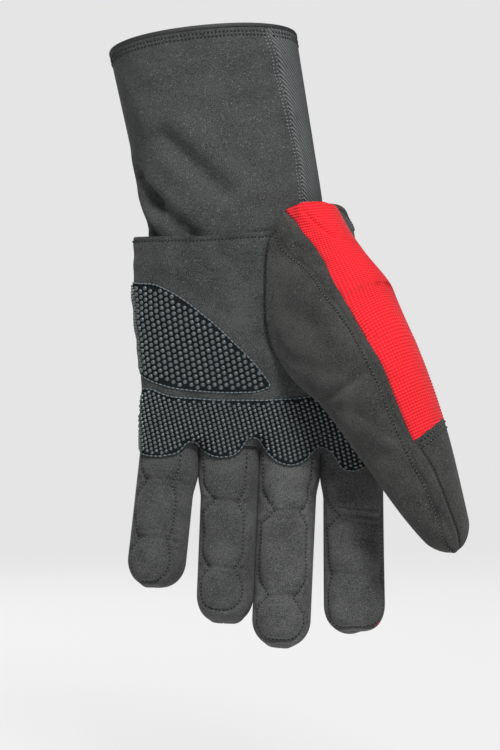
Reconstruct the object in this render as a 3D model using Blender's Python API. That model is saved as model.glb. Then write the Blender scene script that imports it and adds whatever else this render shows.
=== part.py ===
"""Left-hand ski glove, hanging with its fingers down and its palm towards -Y.

The origin is the middle of the cuff's mouth.  +Z runs up out of the mouth, +X points to the
thumb's side and +Y out of the back of the hand.  Every panel is a sheet cut from a soft tube and
given its cloth's thickness, so panels that are sewn together share the tube they lie on.
"""
import math

import bmesh
import bpy
import numpy as np

for old in list(bpy.data.objects):
    bpy.data.objects.remove(old, do_unlink=True)

MM = 0.001

# Cloth thicknesses
SUEDE = 1.8 * MM
KNIT = 1.6 * MM
SOFTSHELL = 2.0 * MM
FLEECE = 1.2 * MM
RUBBER = 1.1 * MM
FOLD_CLOTH = 1.1 * MM
BINDING_CLOTH = 1.0 * MM

# Clearances
SEAM = 0.3 * MM
SIDE_SEAM = 1.0 * MM
LINING_GAP = 0.8 * MM
HAND_LINING_GAP = 1.3 * MM
THUMB_LINING_GAP = 1.0 * MM
TUCK_GAP = 1.5 * MM
FOLD_SLACK = 1.5 * MM
WEB_GAP = 1.0 * MM
FOLD_GAP = 0.5 * MM
FOLD_DEPTH = 0.7 * MM
WELD = 0.00001

# Cuff: a leaning tube whose rim is a little higher at the thumb's side and at the front
CUFF_LENGTH = 56 * MM
CUFF_LEAN = 0.19
RIM_WIDTH = 83.5 * MM
RIM_DEPTH = 58 * MM
WRIST_TUBE_WIDTH = 78 * MM
WRIST_TUBE_DEPTH = 49 * MM
RIM_SKEW = 3.6 * MM
RIM_RAISE = 4.6 * MM
BINDING_HEIGHT = 7 * MM
CUFF_THUMB_SEAM = 44
CUFF_LITTLE_SEAM = 196

# Hand: the tube from the wrist to the finger roots
HAND_TOP = 72 * MM
PALM_HEM = 14 * MM
PALM_MIDDLE = 45 * MM
KNUCKLES = 109 * MM
ROOT_ALLOWANCE = 20 * MM
WRIST_X = 17.5 * MM
PALM_X = 20.5 * MM
KNUCKLE_X = 26.6 * MM
WRIST_WIDTH = 96 * MM
PALM_WIDTH = 104 * MM
KNUCKLE_WIDTH = 109 * MM
WRIST_DEPTH = 55 * MM
PALM_DEPTH = 45 * MM
KNUCKLE_DEPTH = 28 * MM
YOKE_LENGTH = 34 * MM
GAITER_TUCK = 38 * MM
LITTLE_SIDE_SEAM = 206
WRIST_THUMB_SEAM = 37
KNUCKLE_THUMB_SEAM = -26

# Rubber patches on the palm, as heights below the hand's top and angles round it
HEEL_TOP = 35 * MM
HEEL_DROP = 44 * MM
HEEL_FOOT = 82 * MM
HEEL_FROM = 84
HEEL_TO = 186
GRIP_TOP = 86 * MM
GRIP_FROM = 36
GRIP_CORNER = 74
GRIP_THUMB_DROP = 13 * MM
GRIP_TO = 172
GRIP_NOTCH = 105 * MM
GRIP_LOBE = 8 * MM

# Fingers: each stall leans sideways, curls towards the palm and ends in a round tip
FINGER_NAMES = ("little", "ring", "middle", "index")
FINGER_X = {"little": -15.2 * MM, "ring": 11.7 * MM, "middle": 39.2 * MM, "index": 67.3 * MM}
FINGER_WIDTH = {"little": 25.6 * MM, "ring": 24.2 * MM, "middle": 25.0 * MM, "index": 26.8 * MM}
FINGER_LENGTH = {"little": 65.6 * MM, "ring": 79.2 * MM, "middle": 88.8 * MM, "index": 79.6 * MM}
FINGER_LEAN = {"little": -5.9, "ring": -1.9, "middle": -3.0, "index": 0.2}
MIDDLE_JOINT = {"little": 18.0 * MM, "ring": 24.8 * MM, "middle": 27.6 * MM, "index": 27.9 * MM}
END_JOINT = {"little": 45.6 * MM, "ring": 55.8 * MM, "middle": 67.0 * MM, "index": 55.6 * MM}
ROOT_BEND = {"little": 60, "ring": 60, "middle": 60, "index": 24}
KNUCKLE_SLOPE = 0.066
FINGER_ROOT_DEPTH = 24.5 * MM
FINGER_TIP_DEPTH = 22.0 * MM
FINGER_TIP_WIDENING = 0.6 * MM
FINGER_TIP_RADIUS = 12.5 * MM
FINGER_CURL = 16
BACK_SEAM_ANGLE = 28
AXIS_FORWARD = 3.5 * MM

# Joint limits in degrees: how far each joint opens backwards and closes towards the palm
ROOT_OPEN = -10
MIDDLE_OPEN = -4
MIDDLE_BEND = 75
END_OPEN = -4
END_BEND = 45
THUMB_OPEN = -10
THUMB_SPREAD = 30
THUMB_TIP_OPEN = -6
THUMB_TIP_BEND = 45

# Thumb: centreline points, then widths and depths along it
THUMB_TOP = (45.5 * MM, -11.5 * MM, -70.0 * MM)
THUMB_UPPER = (49.5 * MM, -15.0 * MM, -97.0 * MM)
THUMB_SADDLE = (57.6 * MM, -24.5 * MM, -123.0 * MM)
THUMB_CREASE = (72.0 * MM, -36.5 * MM, -146.0 * MM)
THUMB_KNUCKLE = (87.6 * MM, -44.0 * MM, -176.2 * MM)
THUMB_PAD = (99.0 * MM, -47.0 * MM, -202.0 * MM)
THUMB_TIP = (109.3 * MM, -48.0 * MM, -223.9 * MM)
THUMB_TOP_WIDTH = 23 * MM
THUMB_UPPER_WIDTH = 44 * MM
THUMB_SADDLE_WIDTH = 60 * MM
THUMB_CREASE_WIDTH = 50 * MM
THUMB_KNUCKLE_WIDTH = 39 * MM
THUMB_PAD_WIDTH = 29 * MM
THUMB_TIP_WIDTH = 19 * MM
THUMB_TOP_DEPTH = 25 * MM
THUMB_UPPER_DEPTH = 30 * MM
THUMB_SADDLE_DEPTH = 36 * MM
THUMB_CREASE_DEPTH = 35 * MM
THUMB_KNUCKLE_DEPTH = 30 * MM
THUMB_PAD_DEPTH = 26 * MM
THUMB_TIP_DEPTH = 19 * MM
THUMB_TIP_RADIUS = 10 * MM
PALM_FACING = (0.0, -1.0, 0.0)
THUMB_FACING = (-0.45, -0.89, 0.0)
THUMB_AXIS_SIDE = 8 * MM
THUMB_BAND_FROM = -150
THUMB_BAND_TO = 62

# Section shapes: 2 is an ellipse and a larger number is squarer
CUFF_SQUARENESS = 2.15
WRIST_SQUARENESS = 2.2
KNUCKLE_SQUARENESS = 4.5
FINGER_SQUARENESS = 2.35
THUMB_SQUARENESS = 2.2

# Facets: columns round a tube and rows along it
CUFF_FRONT_COLUMNS = 14
CUFF_SIDE_COLUMNS = 18
CUFF_RING_COLUMNS = 28
CUFF_ROWS = 3
GAITER_ROWS = 4
PALM_COLUMNS = 20
BACK_COLUMNS = 14
HAND_ROWS = 7
HAND_LINING_COLUMNS = 32
LINING_ROWS = 4
HEEL_COLUMNS = 12
HEEL_ROWS = 3
GRIP_COLUMNS = 40
WEB_COLUMNS = 48
BORE_COLUMNS = 16
FINGER_FRONT_COLUMNS = 12
FINGER_BACK_COLUMNS = 6
THUMB_BAND_COLUMNS = 13
THUMB_FRONT_COLUMNS = 11
THUMB_HOLLOW_COLUMNS = 24
SADDLE_ROWS = 7
STALL_ROWS = 2
DOME_ROWS = 4
BLOCK_ROWS = 12
EDGE_PASSES = 4
SHARP_ANGLE = 50
PIVOT_SIZE = 10 * MM
FULL_TURN = 360


def spline(knots, values, at):
    """Cubic curve through values at knots, with the slopes of neighbouring knots."""
    knots = np.asarray(knots, float)
    values = np.asarray(values, float)
    at = np.asarray(at, float)
    slopes = np.gradient(values, knots, axis=0)
    left = np.clip(np.searchsorted(knots, at, side="right") - 1, 0, len(knots) - 2)
    span = knots[left + 1] - knots[left]
    t = (at - knots[left]) / span
    if values.ndim > 1:
        span = span[..., None]
        t = t[..., None]
    start = values[left] * (2 * t**3 - 3 * t**2 + 1) + slopes[left] * span * (t**3 - 2 * t**2 + t)
    return start + values[left + 1] * (3 * t**2 - 2 * t**3) + slopes[left + 1] * span * (t**3 - t**2)


def unit(vectors):
    """Vectors scaled to length 1."""
    return vectors / np.linalg.norm(vectors, axis=-1, keepdims=True)


class Sleeve:
    """A soft tube: an oval section carried along a smooth centreline.

    The angle u goes round the section: 0 at the thumb's side, 90 at the palm, 180 at the little
    finger's side and 270 at the back.  s is the distance along the centreline.
    """

    STEP = 0.2 * MM

    def __init__(self, centres, widths, depths, facing, squareness, first=0.0, tip_radius=0.0,
                 heading=None):
        steps = np.linalg.norm(np.diff(centres, axis=0), axis=1)
        self.centres = np.array(centres)
        self.knots = first + np.concatenate([[0], np.cumsum(steps)])
        self.sizes = np.stack([np.array(widths) / 2, np.array(depths) / 2], axis=-1)
        self.facing = np.array(facing)
        self.heading = heading
        self.squareness = np.broadcast_to(np.array(squareness, float), self.knots.shape)
        self.tip_radius = tip_radius
        self.length = self.knots[-1]

    def frame(self, s):
        """Centre, and the directions along the tube, towards the palm and towards the thumb."""
        s = np.asarray(s, float)
        centre = spline(self.knots, self.centres, s)
        ahead = spline(self.knots, self.centres, s + self.STEP)
        behind = spline(self.knots, self.centres, s - self.STEP)
        along = unit(ahead - behind)
        if self.heading:
            along = np.broadcast_to(np.array(self.heading, float), along.shape)
        facing = self.facing - np.sum(self.facing * along, axis=-1, keepdims=True) * along
        palmward = unit(facing)
        return centre, along, palmward, np.cross(palmward, along)

    def section(self, s, u, inset=0.0):
        """The skin's offsets from the centreline, towards the thumb and towards the palm."""
        s = np.asarray(s, float)
        half, depth = np.moveaxis(spline(self.knots, self.sizes, s), -1, 0)
        power = spline(self.knots, self.squareness, s)
        across = np.cos(np.radians(u))
        sine = np.sin(np.radians(u))
        through = np.sign(sine) * np.clip(1 - np.abs(across) ** power, 0, 1) ** (1 / power)
        close = self.closing(s, inset)
        return (half - inset) * across * close, (depth - inset) * through * close

    def closing(self, s, inset):
        """1 along the tube, falling to 0 round the dome at a closed tip."""
        if not self.tip_radius:
            return np.ones_like(s)
        rise = (s - self.length + self.tip_radius) / (self.tip_radius - inset)
        return np.sqrt(1 - np.clip(rise, 0, 1) ** 2)

    def skin(self, s, u, inset=0.0, nudge=0.0):
        """Points of the tube's skin, drawn in by inset and moved towards the palm by nudge."""
        centre, along, palmward, thumbward = self.frame(s)
        across, through = self.section(s, u, inset)
        return centre + across[..., None] * thumbward + (through + nudge)[..., None] * palmward


class Joint:
    """A flex line across a sleeve at s, closing towards the section's angle given by closing."""

    def __init__(self, name, sleeve, s, low, high, forward, closing=90):
        self.name = name
        self.sleeve = sleeve
        self.s = s
        self.low = low
        self.high = high
        self.forward = forward
        self.closing = math.radians(closing)

    def place(self):
        """The axis's point and direction: a positive turn closes the joint."""
        centre, along, palmward, thumbward = self.sleeve.frame(self.s)
        towards = thumbward * math.cos(self.closing) + palmward * math.sin(self.closing)
        return centre + self.forward * towards, np.cross(along, towards)

    def half_gap(self, reach):
        """Half of the wedge that the joint needs at a distance reach from the centreline."""
        ahead = np.maximum(reach - self.forward, 0) * math.tan(math.radians(self.high) / 2)
        behind = np.maximum(self.forward - reach, 0) * math.tan(math.radians(-self.low) / 2)
        return FOLD_SLACK + ahead + behind

    def edge(self, side, slack=0.0, inset=0.0):
        """Where a panel ends: side is -1 above the joint and 1 below it, slack the cloth let in."""

        def at(u):
            across, through = self.sleeve.section(np.full_like(u, self.s), u, inset)
            reach = across * math.cos(self.closing) + through * math.sin(self.closing)
            return self.s + side * (self.half_gap(reach) - slack)

        return at


def level(value):
    """An edge at one distance along a sleeve."""
    return lambda u: np.full_like(u, value)


def arc(low, high, columns):
    """Evenly spaced angles."""
    return np.linspace(low, high, columns + 1)


def ring_of(*arcs):
    """The angles of neighbouring arcs, joined into one closed ring."""
    return np.concatenate([arcs[0], *[piece[1:] for piece in arcs[1:]]])


def material(name, colour, roughness):
    """A cloth or rubber finish."""
    made = bpy.data.materials.new(name)
    made.use_nodes = True
    shader = made.node_tree.nodes["Principled BSDF"]
    shader.inputs["Base Color"].default_value = (*colour, 1.0)
    shader.inputs["Roughness"].default_value = roughness
    shader.inputs["Metallic"].default_value = 0.0
    return made


DARK_SUEDE = ((0.058, 0.06, 0.059), 0.9)
SOFTSHELL_GREY = ((0.062, 0.066, 0.065), 0.8)
TWILL_GREY = ((0.1, 0.105, 0.108), 0.75)
RED_KNIT = ((0.82, 0.02, 0.032), 0.85)
DOTTED_RUBBER = ((0.05, 0.06, 0.06), 0.55)
BLACK_FLEECE = ((0.02, 0.02, 0.022), 0.95)
BLACK_TAPE = ((0.03, 0.03, 0.032), 0.7)


def empty(name, point, parent=None):
    """A pivot that carries the pieces of one moving body."""
    pivot = bpy.data.objects.new(name, None)
    pivot.empty_display_size = PIVOT_SIZE
    pivot["point"] = [float(value) for value in point]
    bpy.context.collection.objects.link(pivot)
    pivot.location = point
    if parent:
        pivot.parent = parent
        pivot.location = np.array(point) - np.array(parent["point"])
    return pivot


def add_object(name, bm, finish, pivot):
    """Turns a bmesh into a smooth-shaded object on its pivot."""
    bmesh.ops.remove_doubles(bm, verts=bm.verts, dist=WELD)
    mesh = bpy.data.meshes.new(name)
    bm.to_mesh(mesh)
    bm.free()
    mesh.shade_smooth()
    mesh.set_sharp_from_angle(angle=math.radians(SHARP_ANGLE))
    thing = bpy.data.objects.new(name, mesh)
    bpy.context.collection.objects.link(thing)
    thing.parent = pivot
    if finish:
        mesh.materials.append(material(name, *finish))
    return thing


def rows_between(top, bottom, rows, sleeve, inset, dome):
    """Row distances from top to bottom, bunched round the dome where the sleeve is closed."""
    shares = np.linspace(0, 1, rows + 1)[:, None]
    if not dome:
        return top + (bottom - top) * shares
    shoulder = sleeve.length - sleeve.tip_radius
    straight = top + (shoulder - top) * shares
    turn = np.linspace(0, math.pi / 2, DOME_ROWS + 1)[1:, None]
    round_end = shoulder + (sleeve.tip_radius - inset) * np.sin(turn) * np.ones_like(top)
    return np.concatenate([straight, round_end])


def grid(sleeve, angles, start, end, rows, inset=0.0, nudge=0.0, dome=False):
    """Points of a sheet between two edges, at angles that are fixed or a function of s."""

    def turn(s):
        if callable(angles):
            return angles(s)
        return np.broadcast_to(angles, np.broadcast(angles, s).shape)

    edges = []
    for edge in (start, end):
        u = turn(0.0)
        for settle in range(EDGE_PASSES):
            u = turn(edge(u))
        edges.append(edge(u))
    s = rows_between(*edges, rows, sleeve, inset, dome)
    return sleeve.skin(s, turn(s), inset, nudge)


def weave(bm, points, closed, inside=False):
    """Adds quads over a grid of points and returns its vertices, row by row."""
    if closed:
        points = points[:, :-1]
    verts = [[bm.verts.new(point) for point in row] for row in points]
    count = len(verts[0])
    for upper, lower in zip(verts, verts[1:]):
        for j in range(count if closed else count - 1):
            k = (j + 1) % count
            corners = [upper[j], upper[k], lower[k], lower[j]]
            bm.faces.new(corners[::-1] if inside else corners)
    return verts


def hem(bm, outer, inner, closed):
    """Joins two rows of vertices, the cloth's outer and inner face, with a strip of quads."""
    count = len(outer)
    for j in range(count if closed else count - 1):
        k = (j + 1) % count
        bm.faces.new((outer[j], inner[j], inner[k], outer[k]))


def panel(name, sleeve, angles, start, end, cloth, finish, pivot, rows=STALL_ROWS, inset=0.0, **shape):
    """A sewn panel: a sheet of the sleeve with an outer face, an inner face and hemmed edges."""
    closed = not callable(angles) and angles[-1] - angles[0] == FULL_TURN
    bm = bmesh.new()
    faces = []
    for depth in (inset, inset + cloth):
        points = grid(sleeve, angles, start, end, rows, depth, **shape)
        faces.append(weave(bm, points - np.array(pivot["point"]), closed, inside=depth > inset))
    outer, inner = faces
    hem(bm, outer[0], inner[0], closed)
    hem(bm, inner[-1], outer[-1], closed)
    if not closed:
        hem(bm, [row[0] for row in inner], [row[0] for row in outer], False)
        hem(bm, [row[-1] for row in outer], [row[-1] for row in inner], False)
    return add_object(name, bm, finish, pivot)


def plug(name, sleeve, start, end, rows, columns, pivot, finish=None, ridge=None, **shape):
    """A closed solid that fills the sleeve between two edges.

    Where its ends are folded, ridge holds the points of the fold across each end.
    """
    bm = bmesh.new()
    points = grid(sleeve, arc(0, FULL_TURN, columns), start, end, rows, **shape)
    verts = weave(bm, points - np.array(pivot["point"]), True)
    half = columns // 2
    for end_index, ring in enumerate((verts[0], verts[-1])):
        front = ring[:half + 1]
        back = [ring[-j % columns] for j in range(half + 1)]
        strips = [(front, back)]
        if ridge is not None:
            fold = ridge[end_index][1:-1] - np.array(pivot["point"])
            between = [front[0], *[bm.verts.new(point) for point in fold], front[-1]]
            strips = [(front, between), (between, back)]
        for one, other in strips:
            for j in range(half):
                corners = list(dict.fromkeys((one[j], other[j], other[j + 1], one[j + 1])))
                if end_index:
                    corners.reverse()
                if len(corners) > 2:
                    bm.faces.new(corners)
    return add_object(name, bm, finish, pivot)


def hide(thing):
    """Marks a solid that only cuts others."""
    thing.hide_render = True
    thing.display_type = "WIRE"
    return thing


def cut(thing, cutter):
    """Takes the cutter's volume out of a piece."""
    boolean = thing.modifiers.new(cutter.name, "BOOLEAN")
    boolean.operation = "DIFFERENCE"
    boolean.solver = "EXACT"
    boolean.object = cutter
    return thing


def cuff_sleeve():
    """The leaning forearm tube, from its rim down to where it enters the hand."""
    drops = (0, CUFF_LENGTH, HAND_TOP)
    centres = [(CUFF_LEAN * drop, 0, -drop) for drop in drops]
    widths = (RIM_WIDTH, WRIST_TUBE_WIDTH, WRIST_TUBE_WIDTH)
    depths = (RIM_DEPTH, WRIST_TUBE_DEPTH, WRIST_TUBE_DEPTH)
    return Sleeve(centres, widths, depths, PALM_FACING, CUFF_SQUARENESS)


def hand_sleeve():
    """The flattened tube round the palm and the back of the hand, in level sections."""
    drops = (0, PALM_MIDDLE, KNUCKLES, KNUCKLES + ROOT_ALLOWANCE)
    sides = (WRIST_X, PALM_X, KNUCKLE_X, KNUCKLE_X)
    centres = [(side, 0, -HAND_TOP - drop) for side, drop in zip(sides, drops)]
    widths = (WRIST_WIDTH, PALM_WIDTH, KNUCKLE_WIDTH, KNUCKLE_WIDTH)
    depths = (WRIST_DEPTH, PALM_DEPTH, KNUCKLE_DEPTH, KNUCKLE_DEPTH)
    middle_squareness = (WRIST_SQUARENESS + KNUCKLE_SQUARENESS) / 2
    squareness = (WRIST_SQUARENESS, middle_squareness, KNUCKLE_SQUARENESS, KNUCKLE_SQUARENESS)
    hand = Sleeve(centres, widths, depths, PALM_FACING, squareness, heading=(0, 0, -1))
    hand.knots = np.array(drops)
    return hand


def gaiter_sleeve():
    """The tube that leaves the cuff's end and flares to the inside of the hand."""
    sewn = SUEDE + LINING_GAP
    half_width, half_depth = spline(HAND.knots, HAND.sizes, np.array(GAITER_TUCK))
    cuff_points = [CUFF.frame(knot)[0] for knot in CUFF.knots[1:]]
    hand_points = [HAND.frame(drop)[0] for drop in (GAITER_TUCK, GAITER_TUCK + ROOT_ALLOWANCE)]
    centres = cuff_points + hand_points
    widths = (WRIST_TUBE_WIDTH, WRIST_TUBE_WIDTH, 2 * (half_width - sewn), 2 * (half_width - sewn))
    depths = (WRIST_TUBE_DEPTH, WRIST_TUBE_DEPTH, 2 * (half_depth - sewn), 2 * (half_depth - sewn))
    return Sleeve(centres, widths, depths, PALM_FACING, CUFF_SQUARENESS)


def finger_root(name):
    """Where a finger's root joint crosses its centreline."""
    x = FINGER_X[name]
    return x, 0, -HAND_TOP - KNUCKLES - KNUCKLE_SLOPE * (x - KNUCKLE_X)


def finger_sleeve(name):
    """A finger stall on a circular arc that leans sideways and curls towards the palm."""
    length = FINGER_LENGTH[name]
    lean = math.radians(FINGER_LEAN[name])
    down = np.array((math.sin(lean), 0, -math.cos(lean)))
    front = np.array(PALM_FACING)
    bend = math.radians(FINGER_CURL) / length
    knots = np.array([-ROOT_ALLOWANCE, 0, length / 3, 2 * length / 3, length])
    turn = bend * np.maximum(knots, 0)
    drop = np.where(knots > 0, np.sin(turn) / bend, knots)
    reach = (1 - np.cos(turn)) / bend
    centres = np.array(finger_root(name)) + drop[:, None] * down + reach[:, None] * front
    tip_width = FINGER_WIDTH[name] + FINGER_TIP_WIDENING
    widths = np.interp(knots, (0, length), (FINGER_WIDTH[name], tip_width))
    depths = np.interp(knots, (0, length), (FINGER_ROOT_DEPTH, FINGER_TIP_DEPTH))
    return Sleeve(centres, widths, depths, PALM_FACING, FINGER_SQUARENESS, -ROOT_ALLOWANCE,
                  FINGER_TIP_RADIUS)


def thumb_sleeve():
    """The thumb stall with the saddle that it grows out of."""
    centres = (THUMB_TOP, THUMB_UPPER, THUMB_SADDLE, THUMB_CREASE,
               THUMB_KNUCKLE, THUMB_PAD, THUMB_TIP)
    widths = (THUMB_TOP_WIDTH, THUMB_UPPER_WIDTH, THUMB_SADDLE_WIDTH, THUMB_CREASE_WIDTH,
              THUMB_KNUCKLE_WIDTH, THUMB_PAD_WIDTH, THUMB_TIP_WIDTH)
    depths = (THUMB_TOP_DEPTH, THUMB_UPPER_DEPTH, THUMB_SADDLE_DEPTH, THUMB_CREASE_DEPTH,
              THUMB_KNUCKLE_DEPTH, THUMB_PAD_DEPTH, THUMB_TIP_DEPTH)
    return Sleeve(centres, widths, depths, THUMB_FACING, THUMB_SQUARENESS, tip_radius=THUMB_TIP_RADIUS)


CUFF = cuff_sleeve()
HAND = hand_sleeve()
GAITER = gaiter_sleeve()
FINGERS = {name: finger_sleeve(name) for name in FINGER_NAMES}
THUMB = thumb_sleeve()


def across_fingers(x, value):
    """A value per finger and side, read at positions across the hand."""
    sides = [(name, side) for name in FINGER_NAMES for side in (-1, 1)]
    places = [FINGER_X[name] + side * FINGER_WIDTH[name] / 2 for name, side in sides]
    return np.interp(x, places, [value(name, side) for name, side in sides])


def knuckle_line(x):
    """Distance down the hand to the finger roots' axes, following each finger's lean."""

    def drop(name, side):
        across = side * FINGER_WIDTH[name] / 2
        return -HAND_TOP - finger_root(name)[2] - across * math.tan(math.radians(FINGER_LEAN[name]))

    return across_fingers(x, drop)


def knuckle_edge(side, slack=0.0):
    """Where the hand's panels end at the finger roots: side is -1 above the roots and 1 below them."""
    open_bend = math.tan(math.radians(-ROOT_OPEN) / 2)

    def at(u):
        across, through = HAND.section(np.full_like(u, KNUCKLES), u)
        x = across + KNUCKLE_X
        bend = across_fingers(x, lambda name, edge: math.tan(math.radians(ROOT_BEND[name]) / 2))
        ahead = np.maximum(through - AXIS_FORWARD, 0) * bend
        behind = np.maximum(AXIS_FORWARD - through, 0) * open_bend
        return knuckle_line(x) + side * (FOLD_SLACK + ahead + behind - slack)

    return at


def knuckle_ridge(side, slack, columns):
    """Points along the finger roots' axes, from the thumb's side across to the little finger's."""
    u = arc(0, 180, columns // 2)
    across, through = HAND.section(np.full_like(u, KNUCKLES), u)
    drop = knuckle_line(across + KNUCKLE_X) + side * (FOLD_SLACK - slack)
    return np.stack([across + KNUCKLE_X, np.full_like(u, -AXIS_FORWARD), -HAND_TOP - drop], axis=-1)


def thumb_side_seam(s):
    """Angle of the seam between palm and back at the thumb's side, along the hand."""
    share = np.clip(np.asarray(s) / KNUCKLES, 0, 1)
    return WRIST_THUMB_SEAM + (KNUCKLE_THUMB_SEAM - WRIST_THUMB_SEAM) * share


def seam_angle(sleeve, s, seam):
    """Half of a seam's width, as an angle round a sleeve."""
    half_width = spline(sleeve.knots, sleeve.sizes, np.asarray(s, float))[..., 0]
    return np.degrees(seam / 2 / half_width)


def build_cuff(pivot):
    """Softshell front, twill side and back, rim binding and fleece."""

    def rim(offset):
        def at(u):
            across, through = CUFF.section(np.zeros_like(u), u)
            return offset + RIM_SKEW * across / (RIM_WIDTH / 2) - RIM_RAISE * through / (RIM_DEPTH / 2)
        return at

    gap = seam_angle(CUFF, 0.0, SEAM)
    front = arc(CUFF_THUMB_SEAM + gap, CUFF_LITTLE_SEAM - gap, CUFF_FRONT_COLUMNS)
    rest = arc(CUFF_LITTLE_SEAM + gap - FULL_TURN, CUFF_THUMB_SEAM - gap, CUFF_SIDE_COLUMNS)
    end = level(CUFF.knots[1])
    panel("cuff_front", CUFF, front, rim(0), end, SOFTSHELL, SOFTSHELL_GREY, pivot, CUFF_ROWS)
    panel("cuff_side", CUFF, rest, rim(0), end, SOFTSHELL, TWILL_GREY, pivot, CUFF_ROWS)
    inside = SOFTSHELL + LINING_GAP
    ring = arc(0, FULL_TURN, CUFF_RING_COLUMNS)
    panel("cuff_binding", CUFF, ring, rim(0), rim(BINDING_HEIGHT), BINDING_CLOTH, BLACK_TAPE, pivot, 1,
          inset=inside)
    panel("cuff_lining", CUFF, ring, rim(BINDING_HEIGHT + SEAM), end, FLEECE, BLACK_FLEECE, pivot,
          inset=inside)


def build_gaiter(pivot):
    """The soft sleeve between cuff and hand; its lower edge is level, where it is sewn in."""
    seam = GAITER.knots[2]
    centre, along, palmward, thumbward = GAITER.frame(seam)

    def sewn_edge(u):
        across, through = GAITER.section(np.full_like(u, seam), u)
        return seam - across * thumbward[2] / along[2]

    ring = arc(0, FULL_TURN, CUFF_RING_COLUMNS)
    panel("wrist_gaiter", GAITER, ring, level(SEAM), sewn_edge, SOFTSHELL, SOFTSHELL_GREY, pivot,
          GAITER_ROWS)


def hand_angles(low, high, columns):
    """Angles between two seams of the hand, drawn in by half a seam; each seam is a function of s."""
    shares = np.linspace(0, 1, columns + 1)

    def at(s):
        gap = seam_angle(HAND, s, SIDE_SEAM)
        return low(s) + gap + (high(s) - low(s) - 2 * gap) * shares

    return at


def build_patches(pivot):
    """Dotted rubber on the heel of the hand and across the finger roots."""
    proud = -(RUBBER + SEAM)

    def heel_top(u):
        share = (HEEL_TO - u) / (HEEL_TO - HEEL_FROM)
        return HEEL_TOP + HEEL_DROP * np.clip(share, 0, 1) ** 2

    def grip_top(u):
        return np.interp(u, (GRIP_FROM, GRIP_CORNER), (GRIP_TOP + GRIP_THUMB_DROP, GRIP_TOP))

    def scallops(u):
        across, through = HAND.section(np.full_like(u, KNUCKLES), u)
        x = across + KNUCKLE_X
        drop = np.zeros_like(u)
        for name in FINGER_NAMES:
            share = (x - FINGER_X[name]) / (FINGER_WIDTH[name] / 2)
            drop = np.maximum(drop, np.sqrt(np.clip(1 - share**2, 0, 1)))
        return GRIP_NOTCH + KNUCKLE_SLOPE * (x - KNUCKLE_X) + GRIP_LOBE * drop

    heel = arc(HEEL_FROM, HEEL_TO, HEEL_COLUMNS)
    grip = arc(GRIP_FROM, GRIP_TO, GRIP_COLUMNS)
    panel("heel_patch", HAND, heel, heel_top, level(HEEL_FOOT), RUBBER, DOTTED_RUBBER, pivot, HEEL_ROWS,
          inset=proud)
    panel("grip_patch", HAND, grip, grip_top, scallops, RUBBER, DOTTED_RUBBER, pivot, inset=proud)


def build_hand(pivot):
    """Palm, back, wrist yoke, lining and the web between the finger roots."""

    def little_seam(s):
        return np.full_like(np.asarray(s, float), LITTLE_SIDE_SEAM)

    def past_thumb(s):
        return FULL_TURN + thumb_side_seam(s)

    palm_angles = hand_angles(thumb_side_seam, little_seam, PALM_COLUMNS)
    back_angles = hand_angles(little_seam, past_thumb, BACK_COLUMNS)
    ring = arc(0, FULL_TURN, HAND_LINING_COLUMNS)
    roots = knuckle_edge(-1)
    yoke_end = level(YOKE_LENGTH)
    back_start = level(YOKE_LENGTH + SEAM)
    lining_start = level(GAITER_TUCK + TUCK_GAP)
    lining_end = knuckle_edge(-1, -WEB_GAP)
    palm = panel("palm_panel", HAND, palm_angles, level(PALM_HEM), roots, SUEDE, DARK_SUEDE, pivot,
                 HAND_ROWS)
    back = panel("back_panel", HAND, back_angles, back_start, roots, KNIT, RED_KNIT, pivot, HAND_ROWS)
    yoke = panel("wrist_yoke", HAND, back_angles, level(0), yoke_end, SUEDE, DARK_SUEDE, pivot)
    lining = panel("hand_lining", HAND, ring, lining_start, lining_end, FLEECE, BLACK_FLEECE, pivot,
                   LINING_ROWS, inset=SUEDE + HAND_LINING_GAP)
    ridge = [knuckle_ridge(side, WEB_GAP, WEB_COLUMNS) for side in (-1, 1)]
    web_ends = [knuckle_edge(side, WEB_GAP) for side in (-1, 1)]
    web = plug("finger_web", HAND, *web_ends, 1, WEB_COLUMNS, pivot, DARK_SUEDE, ridge)
    for name in FINGER_NAMES:
        bore = plug(name + "_bore", FINGERS[name], level(-ROOT_ALLOWANCE), level(ROOT_ALLOWANCE / 2),
                    STALL_ROWS, BORE_COLUMNS, pivot, inset=SUEDE)
        cut(web, hide(bore))
    build_patches(pivot)
    return palm, back, yoke, lining


FINGER_FRONT = arc(-BACK_SEAM_ANGLE, FULL_TURN / 2 + BACK_SEAM_ANGLE, FINGER_FRONT_COLUMNS)
FINGER_BACK = arc(FULL_TURN / 2 + BACK_SEAM_ANGLE, FULL_TURN - BACK_SEAM_ANGLE, FINGER_BACK_COLUMNS)
FINGER_RING = ring_of(FINGER_FRONT, FINGER_BACK)
THUMB_BAND = arc(THUMB_BAND_FROM, THUMB_BAND_TO, THUMB_BAND_COLUMNS)
THUMB_FRONT = arc(THUMB_BAND_TO, FULL_TURN + THUMB_BAND_FROM, THUMB_FRONT_COLUMNS)
THUMB_RING = ring_of(THUMB_BAND, THUMB_FRONT)


def split_tube(name, sleeve, start, end, pivot, rows=STALL_ROWS, dome=False):
    """A suede front that wraps round both sides, and a knit back, with a seam between them."""
    panel(name + "_front", sleeve, FINGER_FRONT, start, end, SUEDE, DARK_SUEDE, pivot, rows,
          nudge=SEAM / 2, dome=dome)
    panel(name + "_back", sleeve, FINGER_BACK, start, end, KNIT, RED_KNIT, pivot, rows,
          nudge=-SEAM / 2, dome=dome)


def fold(name, joint, angles, pivot):
    """The drawn-in ring of cloth that fills a joint's wedge."""
    edges = [joint.edge(side, FOLD_GAP) for side in (-1, 1)]
    return panel(name, joint.sleeve, angles, *edges, FOLD_CLOTH, DARK_SUEDE, pivot, 1, inset=FOLD_DEPTH)


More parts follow.
